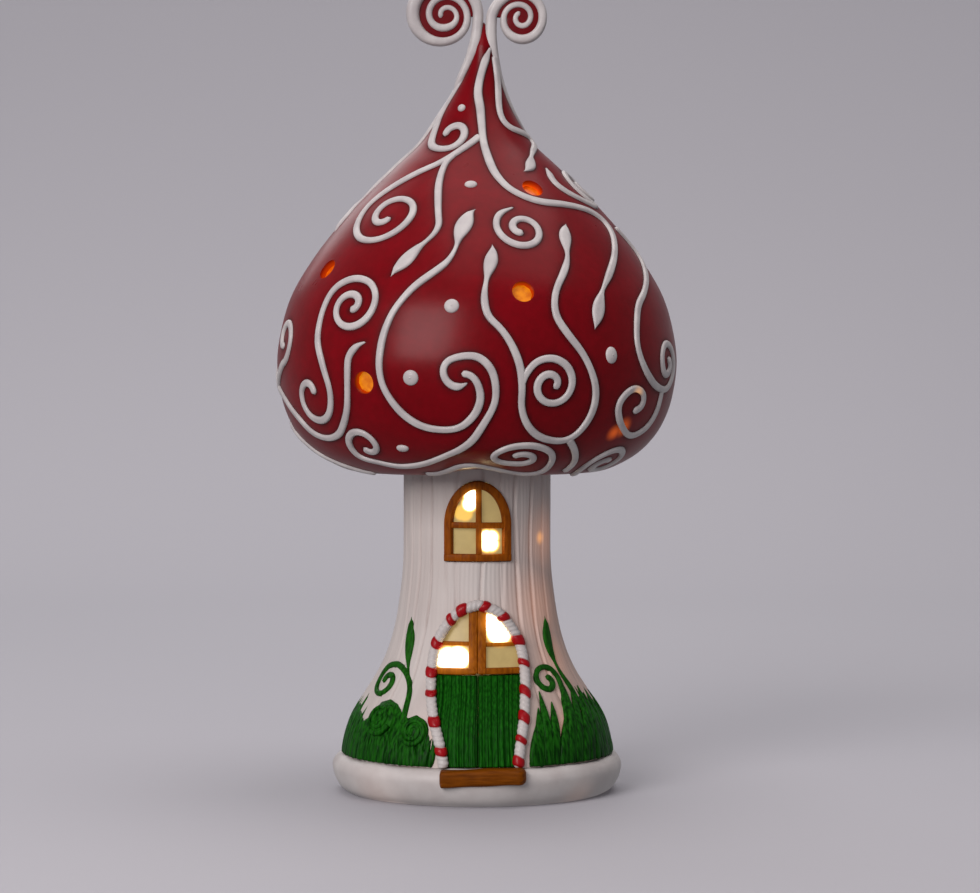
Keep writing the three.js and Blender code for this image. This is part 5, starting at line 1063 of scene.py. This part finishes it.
def leaf_slab(side):
    """Door leaf: a grid from the middle joint out to the doorway's side. Its front is cut by strokes,
    a sum of sines across the leaf, and by a bell curve along both of its edges."""
    up = np.linspace(0, 1, 70)[:, None]
    across = np.linspace(0, 1, 110)[None]
    z = STEM_FOOT + 0.6 + up * (DOOR_RAIL - STEM_FOOT - 0.9)
    edge = door_side(0.1, 400)
    reach = np.interp(z, edge[:, 1], edge[:, 0]) - (side < 0) * foot_shift(z)
    x = DOOR_CENTRE + side * (0.04 + across * (reach - 0.04))
    strokes = waves(22, 1.6, 8.5, 31 + side)
    bend = waves(5, 0.04, 0.2, 47 + side)
    grain = strokes(side * (x - DOOR_CENTRE) + 0.9 * bend(z) * (0.3 + across))
    carved = (0.4 * np.minimum(grain, 0.45) - 0.9 * np.exp(-(across * reach / 0.5) ** 2)
              - 0.5 * np.exp(-((1 - across) * reach / 0.7) ** 2))
    groove = np.clip(-np.append(carved.ravel(), np.full(x.size, -1.0)) / 0.35, 0, 1)
    return slab(on_stem(x, z, carved), on_stem(x, z, -4.0)), groove


door_leaves = []
for which, side in (("left", -1), ("right", 1)):
    shell, groove = leaf_slab(side)
    door_leaves.append(dress(f"door_leaf_{which}", shell, "door_green", groove=groove))


def pane_slab(low, high, edges, offset=-1.2, thick=1.3):
    """Pane: rows from low to high between the left and right edge at each height, set back."""
    z = np.linspace(low, high, 30)[:, None]
    left, right = edges(z)
    x = left + np.linspace(0, 1, 40)[None] * (right - left)
    return slab(on_stem(x, z, offset), on_stem(x, z, offset - thick))


def window_edges(z):
    """Left and right edge of the window's opening at a height: straight, then half an ellipse."""
    rise = np.clip((z - WINDOW["springing"]) / (WINDOW["rise"] - 1.2), 0, 1)
    half = (WINDOW["half"] - 1.4) * np.sqrt(np.maximum(1 - rise ** 2, 0.02))
    return WINDOW_SHIFT - half, WINDOW_SHIFT + half


def door_edges(z):
    """Left and right edge of the doorway at a height, read from its side."""
    edge = door_side(0.3, 400)
    half = np.maximum(np.interp(z, edge[:, 1], edge[:, 0]), 0.6)
    return DOOR_CENTRE - half, DOOR_CENTRE + half


window_pane = dress("window_pane", pane_slab(99.2, 129.6, window_edges), "pane_warm")
door_pane = dress("door_pane", pane_slab(53.2, 78.6, door_edges), "pane_warm")
print("frames, leaves and panes done")

# %% [markdown]
# The doorway is edged with a candy cane: a roll of white icing with red beads pushed on at uneven
# places. Carried along the arch, the roll's radius swells at each red bead and is pinched at its
# ends, and slanting ridges run round the white parts. The red is kept as a value on the points, with
# soft edges, so the paint follows the beads exactly.

# %% Candy-cane arch
RED_BEADS = [(-15.0, 22.6), (-17.1, 34.2), (-18.8, 45.1), (-18.3, 53.2), (-16.9, 64.8), (-11.5, 75.3),
             (-6.6, 79.2), (3.3, 80.1), (10.9, 75.5), (16.3, 65.8), (18.9, 56.7), (19.6, 45.8),
             (18.9, 36.0), (17.9, 27.2), (17.0, 18.5)]
CANE_STEPS, CANE_SIDES, CANE_RADIUS, PINCH = 620, 30, 2.2, 0.28
cane_even, cane_line, cane_places, cane_out, cane_side = laid_on_stem(door_arch(-1.1, 200), 1.0,
                                                                      CANE_STEPS)
bead_gap = np.linalg.norm(cane_line[:, None] - np.array(RED_BEADS)[None], axis=2)
bead_at = np.sort(cane_even[bead_gap.argmin(axis=0)])
bead_half = 1.75 + 0.45 * np.sin(np.arange(len(bead_at)) * 2.3)
turn = np.linspace(0, 2 * np.pi, CANE_SIDES, endpoint=False)
along_cane = cane_even[:, None] + 0.55 * (0.8 * np.cos(turn) + 0.35 * np.sin(turn * 2))
to_bead = (np.abs(along_cane[..., None] - bead_at) - bead_half).min(axis=-1)
red = 1 - step_up(to_bead, -0.12, 0.12)
ridge = 0.10 * np.sin(along_cane * 2 * np.pi / 1.9)
pinch = np.exp(-(to_bead / 0.35) ** 2)
swell = np.where(red > 0.5, 0.3 * np.sqrt(np.clip(-to_bead, 0, 1.6)), ridge)
cane_radius = (CANE_RADIUS + swell - PINCH * pinch) * round_ends(cane_even, 1.6)[:, None]
cane_rings = (cane_places[:, None] + cane_side[:, None] * (np.cos(turn) * cane_radius)[..., None]
              + cane_out[:, None] * (np.sin(turn) * cane_radius)[..., None])
cane = dress("candy_arch", tube(cane_rings, cane_places[0], cane_places[-1]), "candy_stripe",
             red=np.append(red, [0, 0]), pinch=np.append(pinch, [0, 0]))
print("candy beads:", len(bead_at))

# %% [markdown]
# Grass stands round the foot of the stem: modelled blades, each a raised ridge that starts thick at
# the ground, bends a little and comes to a point. A skin behind them closes the gaps. The blades use
# the same bead as the scrolls, on the stem's surface, and lean at random from one seed.

# %% Grass and fronds
GROUND_GAP = 0.3


def blade(azimuth, height, lean, width, lift, bow, blunt):
    """Blade of grass: up the stem from the ground, leaning in azimuth, thick below and narrowing
    above as one less a power of the height, so that a higher power gives a blunter tip."""
    rise = np.linspace(0, 1, 26)
    path = (azimuth + lean * rise ** 1.6 + bow * np.sin(np.pi * rise),
            stem.share_at(STEM_FOOT + GROUND_GAP + rise * height))
    wide = width * (1 - rise ** blunt) ** 0.9 * (0.8 + 0.5 * np.sin(np.pi * rise ** 0.7)) + 0.12
    return bead(stem.point(*path, lift * (1 - 0.3 * rise)), stem.normal(*path), wide,
                0.4 + 0.95 * (wide / width), sink=0.5)


def skin(edge, lift=0.35):
    """Thin closed skin on the stem from the ground up to an edge of azimuths and heights."""
    edge = np.array(edge, float)
    azimuth = np.linspace(edge[0, 0], edge[-1, 0], 160)[None]
    rise = np.linspace(0, 1, 14)[:, None]
    share = stem.share_at(STEM_FOOT + GROUND_GAP + rise * np.interp(azimuth, *edge.T))
    thick = lift + 0.25 * np.sin(azimuth * 1.7) * (1 - rise)
    return slab(stem.point(azimuth, share, thick + 0.2), stem.point(azimuth, share, -0.6))


LEFT_EDGE = [(-123, 2), (-118, 12), (-112, 10), (-107, 16), (-102, 12), (-97, 18), (-92, 15),
             (-87, 20), (-82, 17), (-78, 21), (-73, 19), (-68, 17.5), (-63, 15), (-59, 17),
             (-54, 23.5), (-48, 25), (-42, 23.5), (-37, 20), (-33, 18.5), (-29, 20), (-25, 18.5),
             (-21, 12), (-19, 1.5)]
RIGHT_EDGE = [(22.5, 1.5), (26, 8), (40, 11), (54, 14), (66, 17), (80, 17), (95, 13), (107, 10),
              (119, 3)]
BACK_EDGE = [(125, 3), (136, 8), (150, 10), (167, 11), (180, 12), (198, 10), (215, 10), (228, 8),
             (232, 3)]
grower = np.random.default_rng(11)


def tuft(start, stop, count, edge, tall=1.0, more=0.0, width=3.4, lean=5.0, lift=0.5, blunt=2.2):
    """Row of blades from one azimuth to another. Each height is read from an edge of azimuths and
    heights, with a little chance in it, as in the lean, width, lift and bow."""
    azimuths, heights = np.array(edge, float).T
    shells = []
    for azimuth in np.linspace(start, stop, count):
        height = np.interp(azimuth, azimuths, (heights + more) * tall) * grower.uniform(0.86, 1.08)
        shells.append(blade(azimuth + grower.uniform(-1, 1), height, grower.uniform(-lean, lean),
                            width * grower.uniform(0.8, 1.15), lift * grower.uniform(0.6, 1.5),
                            grower.uniform(-1.2, 1.2), blunt))
    return shells


def stem_spot(azimuth, height):
    """Azimuth and share of the stem's profile, from azimuth and height above the stem's foot."""
    return azimuth, float(stem.share_at(STEM_FOOT + height))


LEFT_BLADES = [(-121, 7), (-112, 14), (-104, 18), (-97, 21), (-90, 24), (-84, 24), (-78, 27),
               (-72, 22), (-64, 16), (-58, 18), (-40, 18), (-22, 15)]
FERN_CURLS = [(-28.5, 13.8, 5.6, 2.2, 1), (-49.5, 17.3, 6.8, 2.1, -1)]


def fern_curl(azimuth, height, size, turns, way):
    """Rolled fern: a low dome, and on it a bead along a spiral."""
    centre = stem_spot(azimuth, height)
    path = curl(stem, centre, 200 if way > 0 else -20, turns * way, size, 1.0, step=14).T
    full = np.ones(path.shape[1])
    return [bead(stem.point(*path, 1.9), stem.normal(*path), 1.9 * full, 1.7 * full, sink=1.2),
            dome(stem, *centre, size + 0.8, size + 0.8, high=1.9)]


RIGHT_BLADES = [(24, 13), (28, 21), (32, 26.5), (35, 22), (38, 20), (43.5, 23), (47, 24), (50, 26.5),
                (54, 24), (57, 26.5), (62, 25), (66, 29.5), (72, 25), (78, 27), (84, 24), (90, 25),
                (100, 20), (110, 16), (118, 8)]
BROAD_BLADES = [(24.3, 17, 4, 3.4), (26.6, 22.8, 4.5, 3.8), (31.2, 29, 3.6, 3.6),
                (34.2, 24.6, 6, 3.9), (38.6, 19, 7, 3.4), (43.6, 29.6, 11, 4.0),
                (47.6, 28.8, 12, 4.0), (52.6, 25, 11, 3.8), (57, 29, 12, 3.8), (61.5, 26, 10, 3.8)]
grass = {"grass_left": [skin(LEFT_EDGE), *tuft(-20, -60, 24, LEFT_BLADES, 0.86, 0, 2.8, 3.0, 0.6),
                        *tuft(-60, -121, 30, LEFT_BLADES, 1, 0, 3.4, 5.0, 0.1)]}
for fern in FERN_CURLS:
    grass["grass_left"] += fern_curl(*fern)
grass["grass_right"] = [
    skin(RIGHT_EDGE), *(blade(*broad, 0.9, 0.4, 4.5) for broad in BROAD_BLADES),
    *tuft(66, 118, 22, RIGHT_BLADES, 1, 0, 3.8, 4.0, 0.3, 3.2),
    *tuft(26, 116, 26, RIGHT_BLADES, 0.5, 0, 3.6, 3.0, 0.3, 3.2)]
grass["grass_back"] = [skin(BACK_EDGE), *tuft(127, 231, 46, BACK_EDGE, 1, 7, 3.3, 5.0, 0.7),
                       *tuft(130, 228, 24, BACK_EDGE, 0.6, 7, 3.4, 5.0, 1.4)]
grass_pieces = [dress(node, gather(shells), "grass_green") for node, shells in grass.items()]
FRONDS = {
    "frond_left": [
        dict(line=[(-35.5, 16), (-37, 27), (-40, 32), (-46, 36.2), (-54, 38.7)],
             last=((-60, 31.6), 80, 1.35, 8.4, 2)),
        dict(line=[(-41.5, 32.5), (-45, 37.5), (-49, 44.5), (-54, 58.6)],
             leaf_last=22, leaf_width=5.4)],
    "frond_right": [
        dict(line=[(45, 16), (49, 24), (52, 29), (53, 32.5)], last=((43, 33), 12, 1.2, 7.3, 2)),
        dict(line=[(60, 20), (60, 29), (57.5, 36), (55.5, 42), (55, 48), (57.5, 58.8)],
             leaf_last=21, leaf_width=5.4)],
}


def frond(line, last=None, **shape):
    """Branch of a frond, whose points and curl are given by azimuth and height above the foot."""
    last = last and (stem_spot(*last[0]), *last[1:])
    return vine(stem, [stem_spot(*spot) for spot in line], last=last, width=2.6, high=1.5,
                shaded=False, **shape)


for node, branches in FRONDS.items():
    grass_pieces.append(dress(node, gather([frond(**branch) for branch in branches]), "grass_green"))
print("grass pieces:", len(grass_pieces))

# %% [markdown]
# Under it all lies a fat rim of snow, smooth and a little uneven, with soft lumps where it meets the
# grass. The rim is a turned profile whose radius and top height wander with the azimuth. The doorstep
# is a plank with round ends, laid on the rim.

# %% Snow base and doorstep
RIM = [(50, 0), (54.4, 0), (56.6, 1.2), (58.4, 3.0), (59.9, 5.8), (60.8, 8.8), (61.0, 11.2),
       (60.3, 13.3), (58.8, 14.8), (56.8, 15.5), (54.6, 15.8), (51, 15.8), (42, 15.5), (42, 5.8),
       (50, 5.8)]
SNOW_SIDES = 300
rim = np.array(RIM, float)
rim = np.vstack([rim[:2], through(rim[1:11], 44)[1:], rim[11:]])
rim_radius, rim_height = rim[:, :1], rim[:, 1:]
azimuth = np.linspace(-180, 180, SNOW_SIDES, endpoint=False)
angle = np.radians(azimuth)
outside = (rim_radius > 54.5) & (rim_height > 0.5)
lobes = 0.22 * np.sin(5 * angle + 1) + 0.16 * np.sin(11 * angle)
radius = rim_radius + outside * lobes - outside * 0.25
lumpy = (outside & (rim_height > 12)) * step_up(rim_height, 12, 15)
height = rim_height + lumpy * 0.33 * (waves(9, 0.12, 0.5, 5)(azimuth) + 0.2)
snow = dress("snow_base", (round_axis(radius, azimuth, height),
                           grid_quads(len(rim), SNOW_SIDES, wrap_rows=True, wrap_columns=True), ()),
             "snow_white")

STEP_LEFT, STEP_LENGTH, STEP_Y, STEP_Z = -15.0, 35.2, -58.4, 12.5
STEP_HALF_DEEP, STEP_HALF_HIGH = 4.3, 3.4
t = np.linspace(0, 1, 90)
step_x = STEP_LEFT + STEP_LENGTH * t
ends = half_round(np.minimum(t * STEP_LENGTH / 0.9, (1 - t) * STEP_LENGTH / 3.2), 0.003)
wander = 1 + 0.03 * np.sin(step_x / 2.7)
places = points_at(step_x, STEP_Y, STEP_Z + 0.25 * np.sin(step_x / 9) + 0.018 * step_x)
doorstep = dress("doorstep", swept(places, (0.0, 1.0, 0.0),
                                   (0.0, 0.0, 1.0), STEP_HALF_DEEP * ends * wander,
                                   STEP_HALF_HIGH * (0.4 + 0.6 * ends) * wander, rounded(32, 4.5)),
                 "step_brown")
print("snow base and doorstep done")

# %% [markdown]
# Now the finishes. Each is a painted resin: a base colour with cloudy brushwork, a darker tone of
# painted shade where the mesh keeps a groove value, and a fine skin of bumps. Lamps inside the house
# make some places glow, and this painted glow is Emission whose reach is a soft distance from a named
# place.

# %% Cap, scroll and stem finishes
DARK = (0, 0, 0)

red_paint = Finish("cap_red_varnish", Roughness=0.3, Coat_Weight=0.03, Coat_Roughness=0.15,
                   Specular_IOR_Level=0.12, Emission_Strength=1.0)
brush = red_paint.noise(16, 3.0) * 0.6 + red_paint.noise(3.2) * 0.4
tone = red_paint.mix(brush.between(0.25, 0.8), srgb(106, 0, 8), srgb(124, 0, 13))
edge_shade, bore_depth = red_paint.value("shade"), red_paint.value("bore")
# Painted shade: the red darkens beside the scrolls, where their shadow would fall.
tone = red_paint.mix(edge_shade * 0.85, tone, srgb(40, 0, 3))
# Painted light: down each hole the wall turns orange and glows more towards the lamp inside, most in
# the top hole, and two spots on the cap glow where the light would shine through the thin wall.
tone = red_paint.mix(bore_depth.between(0.02, 0.35), tone, srgb(150, 24, 4))
through_glow = red_paint.near([(59.5, -50.4, 154, 6), (55.8, -52.8, 152, 5)])
painted_cap_glow = red_paint.mix(bore_depth, DARK, (0.5, 0.055, 0.0))
top_hole = bore_depth.between(0.3, 0.9) * red_paint.axis("Z").between(225, 240)
painted_cap_glow = red_paint.mix(top_hole, painted_cap_glow, (0.95, 0.1, 0.005))
painted_cap_glow = red_paint.mix(through_glow * 0.5, painted_cap_glow, (0.8, 0.13, 0.01))
red_paint.feed(Base_Color=tone, Emission_Color=painted_cap_glow,
               Roughness=red_paint.noise(9) * 0.12 + 0.24 + edge_shade * 0.2)
red_paint.bump(red_paint.noise(2.2, 3.0) * 0.5 + red_paint.noise(0.5) * 0.12, 0.12, 0.35)
red_paint.cover(cap_piece)

web_paint = Finish("web_red_varnish", Roughness=0.3, Coat_Weight=0.05, Coat_Roughness=0.2,
                   Specular_IOR_Level=0.15)
web_paint.feed(Base_Color=web_paint.mix(web_paint.noise(3), srgb(88, 0, 8), srgb(112, 2, 14)),
               Roughness=web_paint.noise(2) * 0.2 + 0.25)
web_paint.bump(web_paint.noise(0.8), 0.1, 0.3)
web_paint.cover(*discs)

white_paint = Finish("scroll_white_paint", Roughness=0.45, Specular_IOR_Level=0.35, Coat_Weight=0.08,
                     Emission_Strength=1.0)
white_cloud = white_paint.noise(7, 3.0).between(0.25, 0.75)
# Painted light: a small warm glow on a scroll beside the spots where the cap is lit through from
# inside.
rim_light = white_paint.near([(65.6, -52.4, 168, 4.5)])
white_paint.feed(Base_Color=white_paint.mix(white_cloud, srgb(180, 171, 171), srgb(200, 192, 190)),
                 Emission_Color=white_paint.mix(rim_light, DARK, (0.5, 0.22, 0.05)),
                 Roughness=white_paint.noise(4) * 0.2 + 0.36)
white_paint.bump(white_paint.noise(1.1, 3.0), 0.12, 0.4)
white_paint.cover(*scroll_pieces, dots)

stem_paint = Finish("stem_white_paint", Roughness=0.55, Specular_IOR_Level=0.35,
                    Emission_Strength=1.0)
wash = stem_paint.noise(20, 2.0, (1, 1, 3)).between(0.3, 0.7)
tone = stem_paint.mix(wash, srgb(194, 181, 176), srgb(206, 195, 190))
# Painted shade: the stem darkens in its grooves.
tone = stem_paint.mix(stem_paint.value("groove").between(0.3, 1.0) * 0.22, tone, srgb(152, 130, 124))
# Painted light: the lower right of the stem is tinted warm, as if the lamps inside shone through the
# resin.
painted_warm_light = stem_paint.axis("X").between(6, 34) * stem_paint.axis("Z").between(125, 60)
tone = stem_paint.mix(painted_warm_light * 0.45, tone, srgb(206, 156, 132))
# Painted light: a bright spot and wide soft patches glow on the stem where the lamps inside would
# shine through the resin.
glow = stem_paint.near([(26.5, -16, 107, 4)])
halo = stem_paint.near([(27, -24, 80, 34), (29, -14, 106, 27), (36, -24, 60, 26), (-22, -46, 25, 20),
                        (40, -36, 30, 20)])
lit = stem_paint.mix(halo * halo, DARK, (0.17, 0.062, 0.026))
lit = stem_paint.mix(glow * 0.9, lit, (0.7, 0.27, 0.04))
stem_paint.feed(Base_Color=tone, Emission_Color=lit, Roughness=stem_paint.noise(5) * 0.2 + 0.45)
stem_paint.bump(stem_paint.noise(1.6, 3.0, (1, 1, 4)), 0.15, 0.45)
stem_paint.cover(stem_piece)
print("cap and stem painted")

# %% [markdown]
# Brown frames carry darker grain along their bars and a painted orange glow near the lamps, the
# green boards are darker in their carved strokes as painted shade, and the panes are frosted with a
# painted glow: two of four in each window have a lamp right behind them and burn white in the middle,
# while the others only pass a little cream light.

# %% Frames, boards, panes and lenses
# Spots of painted glow, x, y, z and reach in mm, on the panes and frames where a lamp stands behind.
DOOR_LAMPS = [(-12.6, -35.5, 58.9, 7.5), (-8.2, -36.5, 58.9, 8), (6.2, -33.5, 73.2, 6.5),
              (9.4, -32.5, 69.3, 8)]
WINDOW_LAMPS = [(4.2, -30, 108.0, 4.9), (6.4, -30, 108.0, 4.9), (4.4, -30, 105.2, 5),
                (6.3, -30, 105.2, 5), (-2.2, -30, 124.8, 5), (-3, -30, 121.8, 4.8)]
WINDOW_AMBER = [(-5, -30, 118, 6), (-6.6, -30, 118.2, 6)]
FRAME_GLOW_REACH = 1.35


def brown_wood(name, dark, light, glow_spots, stretch, piece):
    """Painted wood: grain drawn out along one way, brushed dark to light, with painted glow near
    lamps.
    """
    wood = Finish(name, Roughness=0.45, Specular_IOR_Level=0.08,
                  Emission_Strength=float(bool(glow_spots)))
    grain = wood.noise(1.1, 3.0, stretch).between(0.3, 0.7)
    tone = wood.mix(grain, dark, light)
    tone = wood.mix(wood.noise(8).between(0.35, 0.7) * 0.4, tone, light)
    wood.feed(Base_Color=tone, Roughness=grain * 0.15 + 0.4)
    wood.bump(grain, 0.16, 0.5)
    if glow_spots:
        # Painted light: the frame glows orange near each lamp behind the panes.
        painted_lamp_glow = wood.near([(x, y, z, reach * FRAME_GLOW_REACH) for x, y, z, reach in glow_spots])
        wood.feed(Emission_Color=wood.mix(painted_lamp_glow * painted_lamp_glow, DARK, (0.95, 0.28, 0.02)))
    wood.cover(piece)


brown_wood("window_brown_paint", srgb(112, 50, 2), srgb(146, 74, 6), WINDOW_LAMPS, (1, 1, 5),
           window_frame)
brown_wood("door_brown_paint", srgb(124, 60, 2), srgb(158, 86, 8), DOOR_LAMPS, (1, 1, 5), door_frame)
brown_wood("step_brown_paint", srgb(90, 42, 0), srgb(122, 62, 2), [], (8, 1, 1), doorstep)

board_paint = Finish("door_green_paint", Roughness=0.36, Specular_IOR_Level=0.05)
stroke = board_paint.noise(0.9, 3.0, (1, 1, 12)).between(0.3, 0.75)
tone = board_paint.mix(stroke, srgb(5, 60, 2), srgb(24, 98, 14))
# Painted shade: the boards darken in their carved strokes and along their edges.
tone = board_paint.mix(board_paint.value("groove") * 0.7, tone, srgb(3, 34, 2))
board_paint.feed(Base_Color=tone, Roughness=stroke * 0.2 + 0.35)
board_paint.bump(stroke, 0.2, 0.5)
board_paint.cover(*door_leaves)


def frosted(name, spots, amber_spots, core, piece):
    """Frosted pane: cream, with a painted glow of faint cream light and, at each lamp, a white core
    that goes over yellow to amber.
    """
    pane = Finish(name, Roughness=0.35, Specular_IOR_Level=0.3, Emission_Strength=1.0)
    cloud = pane.noise(4)
    wide = pane.near(spots)
    light = pane.mix(cloud, (0.2, 0.14, 0.055), (0.26, 0.185, 0.075))
    light = pane.mix(wide.between(0.0, 0.35), light, (1.3, 0.6, 0.08))
    if amber_spots:
        light = pane.mix(pane.near(amber_spots).between(0.2, 0.6), light, (0.85, 0.48, 0.07))
    light = pane.mix(wide.between(0.12, 0.4), light, (2.0, 1.35, 0.4))
    pane.feed(Base_Color=pane.mix(cloud, srgb(138, 120, 78), srgb(156, 138, 90)),
              Emission_Color=pane.mix(wide.between(*core), light, (5.5, 4.6, 2.6)))
    pane.bump(pane.noise(1.5), 0.08, 0.3)
    pane.cover(piece)


frosted("window_frosted_pane", WINDOW_LAMPS, WINDOW_AMBER, (0.25, 0.55), window_pane)
frosted("door_frosted_pane", DOOR_LAMPS, [], (0.2, 0.45), door_pane)

# Painted light: the amber lenses glow as if the lamp inside shone through them, orange low down and
# deeper red higher up.
amber_lens = Finish("amber_lens", Roughness=0.25, Emission_Strength=1.0)
lens_cloud = amber_lens.noise(3.5).between(0.3, 0.7)
low_lens = amber_lens.mix(lens_cloud, (0.3, 0.075, 0.0), (0.44, 0.145, 0.003))
high_lens = amber_lens.mix(lens_cloud, (0.3, 0.01, 0.0), (0.46, 0.04, 0.0))
amber_lens.feed(Base_Color=amber_lens.mix(lens_cloud, srgb(172, 84, 4), srgb(196, 112, 8)),
                Emission_Color=amber_lens.mix(amber_lens.axis("Z").between(211, 217), low_lens,
                                              high_lens))
amber_lens.cover(*(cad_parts[f"lens_{name}"] for name in HOLES))
print("frames and panes painted")

# %% [markdown]
# The last painted pieces: striped cane with painted shade where it is pinched, grass with pale tips
# and dark feet, and snow with a trace of cool painted shade low down and a painted warm glow where
# the light leaks out at the ground.

# %% Cane, grass and snow
cane_paint = Finish("cane_paint", Roughness=0.4, Specular_IOR_Level=0.2, Coat_Weight=0.08)
cloud = cane_paint.noise(2.0)
tone = cane_paint.mix(cloud, srgb(188, 178, 175), srgb(206, 198, 195))
# Painted shade: darker where the roll is pinched beside each red bead.
tone = cane_paint.mix(cane_paint.value("pinch") * 0.45, tone, srgb(150, 120, 118))
tone = cane_paint.mix(cane_paint.value("red"), tone,
                      cane_paint.mix(cloud, srgb(136, 0, 8), srgb(172, 2, 18)))
cane_paint.feed(Base_Color=tone, Roughness=cloud * 0.2 + 0.3)
cane_paint.bump(cane_paint.noise(0.7), 0.12, 0.4)
cane_paint.cover(cane)

leaf_paint = Finish("grass_paint", Roughness=0.36, Specular_IOR_Level=0.06)
height = leaf_paint.axis("Z")
streak = leaf_paint.noise(1.1, 2.0, (1, 1, 12)).between(0.3, 0.7)
tone = leaf_paint.mix(streak, srgb(4, 44, 2), srgb(28, 98, 14))
tone = leaf_paint.mix(height.between(34, 18) * 0.3, tone, srgb(5, 34, 5))
tone = leaf_paint.mix(height.between(30, 60) * 0.4, tone, srgb(36, 92, 24))
leaf_paint.feed(Base_Color=tone, Roughness=streak * 0.2 + 0.34)
leaf_paint.bump(streak, 0.18, 0.5)
leaf_paint.cover(*grass_pieces)

snow_paint = Finish("snow_paint", Roughness=0.5, Specular_IOR_Level=0.4, Emission_Strength=1.0)
drift = snow_paint.noise(14, 3.0).between(0.3, 0.7)
tone = snow_paint.mix(drift, srgb(188, 178, 175), srgb(202, 194, 191))
# Painted shade: the snow is darker towards the bottom.
tone = snow_paint.mix(snow_paint.axis("Z").between(6, 0) * 0.4, tone, srgb(170, 158, 154))
# Painted light: a faint warm glow on the snow by the foot of the stem, where lamplight would leak
# out.
ground_light = snow_paint.near([(-42, -44, 1, 20), (44, -42, 1, 14)])
snow_paint.feed(Base_Color=tone, Roughness=drift * 0.15 + 0.42,
                Emission_Color=snow_paint.mix(ground_light, DARK, (0.05, 0.02, 0.008)))
snow_paint.bump(snow_paint.noise(2.4, 3.0), 0.15, 0.4)
snow_paint.cover(snow)
print("cane, grass and snow painted")

# %% [markdown]
# Underneath and inside, plain solids keep their shape and get their real finishes: textured black
# plastic for the plate, hatch and switch, bright plated metal for contacts and screws, a wrapped cell
# with a bare end, a coated board and clear lamps.

# %% Underside and inside
plastic = Finish("black_plastic", Roughness=0.5, Specular_IOR_Level=0.4)
speck = plastic.noise(0.5)
plastic.feed(Base_Color=plastic.mix(plastic.noise(12), srgb(30, 30, 31), srgb(44, 44, 46)),
             Roughness=speck * 0.25 + 0.4)
plastic.bump(speck, 0.06, 0.5)
plated = Finish("plated_steel", Metallic=1.0, Roughness=0.28)
plated.feed(Base_Color=plated.mix(plated.noise(2), srgb(176, 178, 182), srgb(208, 208, 206)),
            Roughness=plated.noise(0.8, 2.0, (6, 1, 1)) * 0.3 + 0.18)
cell = Finish("cell_wrap", Roughness=0.3)
off_middle = cell.node("ShaderNodeMath", {"operation": "ABSOLUTE"}, {0: cell.axis("X")})
bare = off_middle.between(24.2, 24.6)
wrap = cell.mix(off_middle.between(17, 17.3), srgb(40, 52, 62), srgb(150, 112, 62))
cell.feed(Base_Color=cell.mix(bare, wrap, srgb(190, 190, 192)), Metallic=bare,
          Roughness=cell.noise(1.5) * 0.2 + 0.25)
board = Finish("coated_board", Roughness=0.5)
tracks = board.noise(1.2, 0.0, (1, 1, 9)).between(0.52, 0.56)
board.feed(Base_Color=board.mix(tracks, srgb(214, 214, 204), srgb(196, 200, 186)),
           Roughness=tracks * 0.2 + 0.4)
bulb = Finish("clear_lamp", Roughness=0.15, Emission_Strength=1.0)
haze = bulb.noise(2, 1.0)
bulb.feed(Base_Color=bulb.mix(haze, srgb(240, 226, 190), srgb(250, 240, 210)),
          Emission_Color=bulb.mix(haze, (2.0, 1.4, 0.7), (2.4, 1.7, 0.9)))
lead = Finish("lead_sleeve", Roughness=0.5)
lead.feed(Base_Color=lead.mix(lead.noise(1.5), srgb(140, 16, 16), srgb(170, 24, 22)),
          Roughness=lead.noise(0.8) * 0.2 + 0.4)
INSIDE = {plastic: ["base_plate", "battery_door", "switch_body", "switch_knob"],
          plated: ["contact_left", "contact_right", "base_screw_1", "base_screw_2", "base_screw_3"],
          cell: ["battery_cell_1", "battery_cell_2", "battery_cell_3"], board: ["lamp_board"],
          bulb: ["lamp_door", "lamp_window", "lamp_cap"], lead: ["lamp_lead"]}
for finish, names in INSIDE.items():
    finish.cover(*(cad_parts[name] for name in names))
print("inside finished:", sum(len(names) for names in INSIDE.values()), "solids")
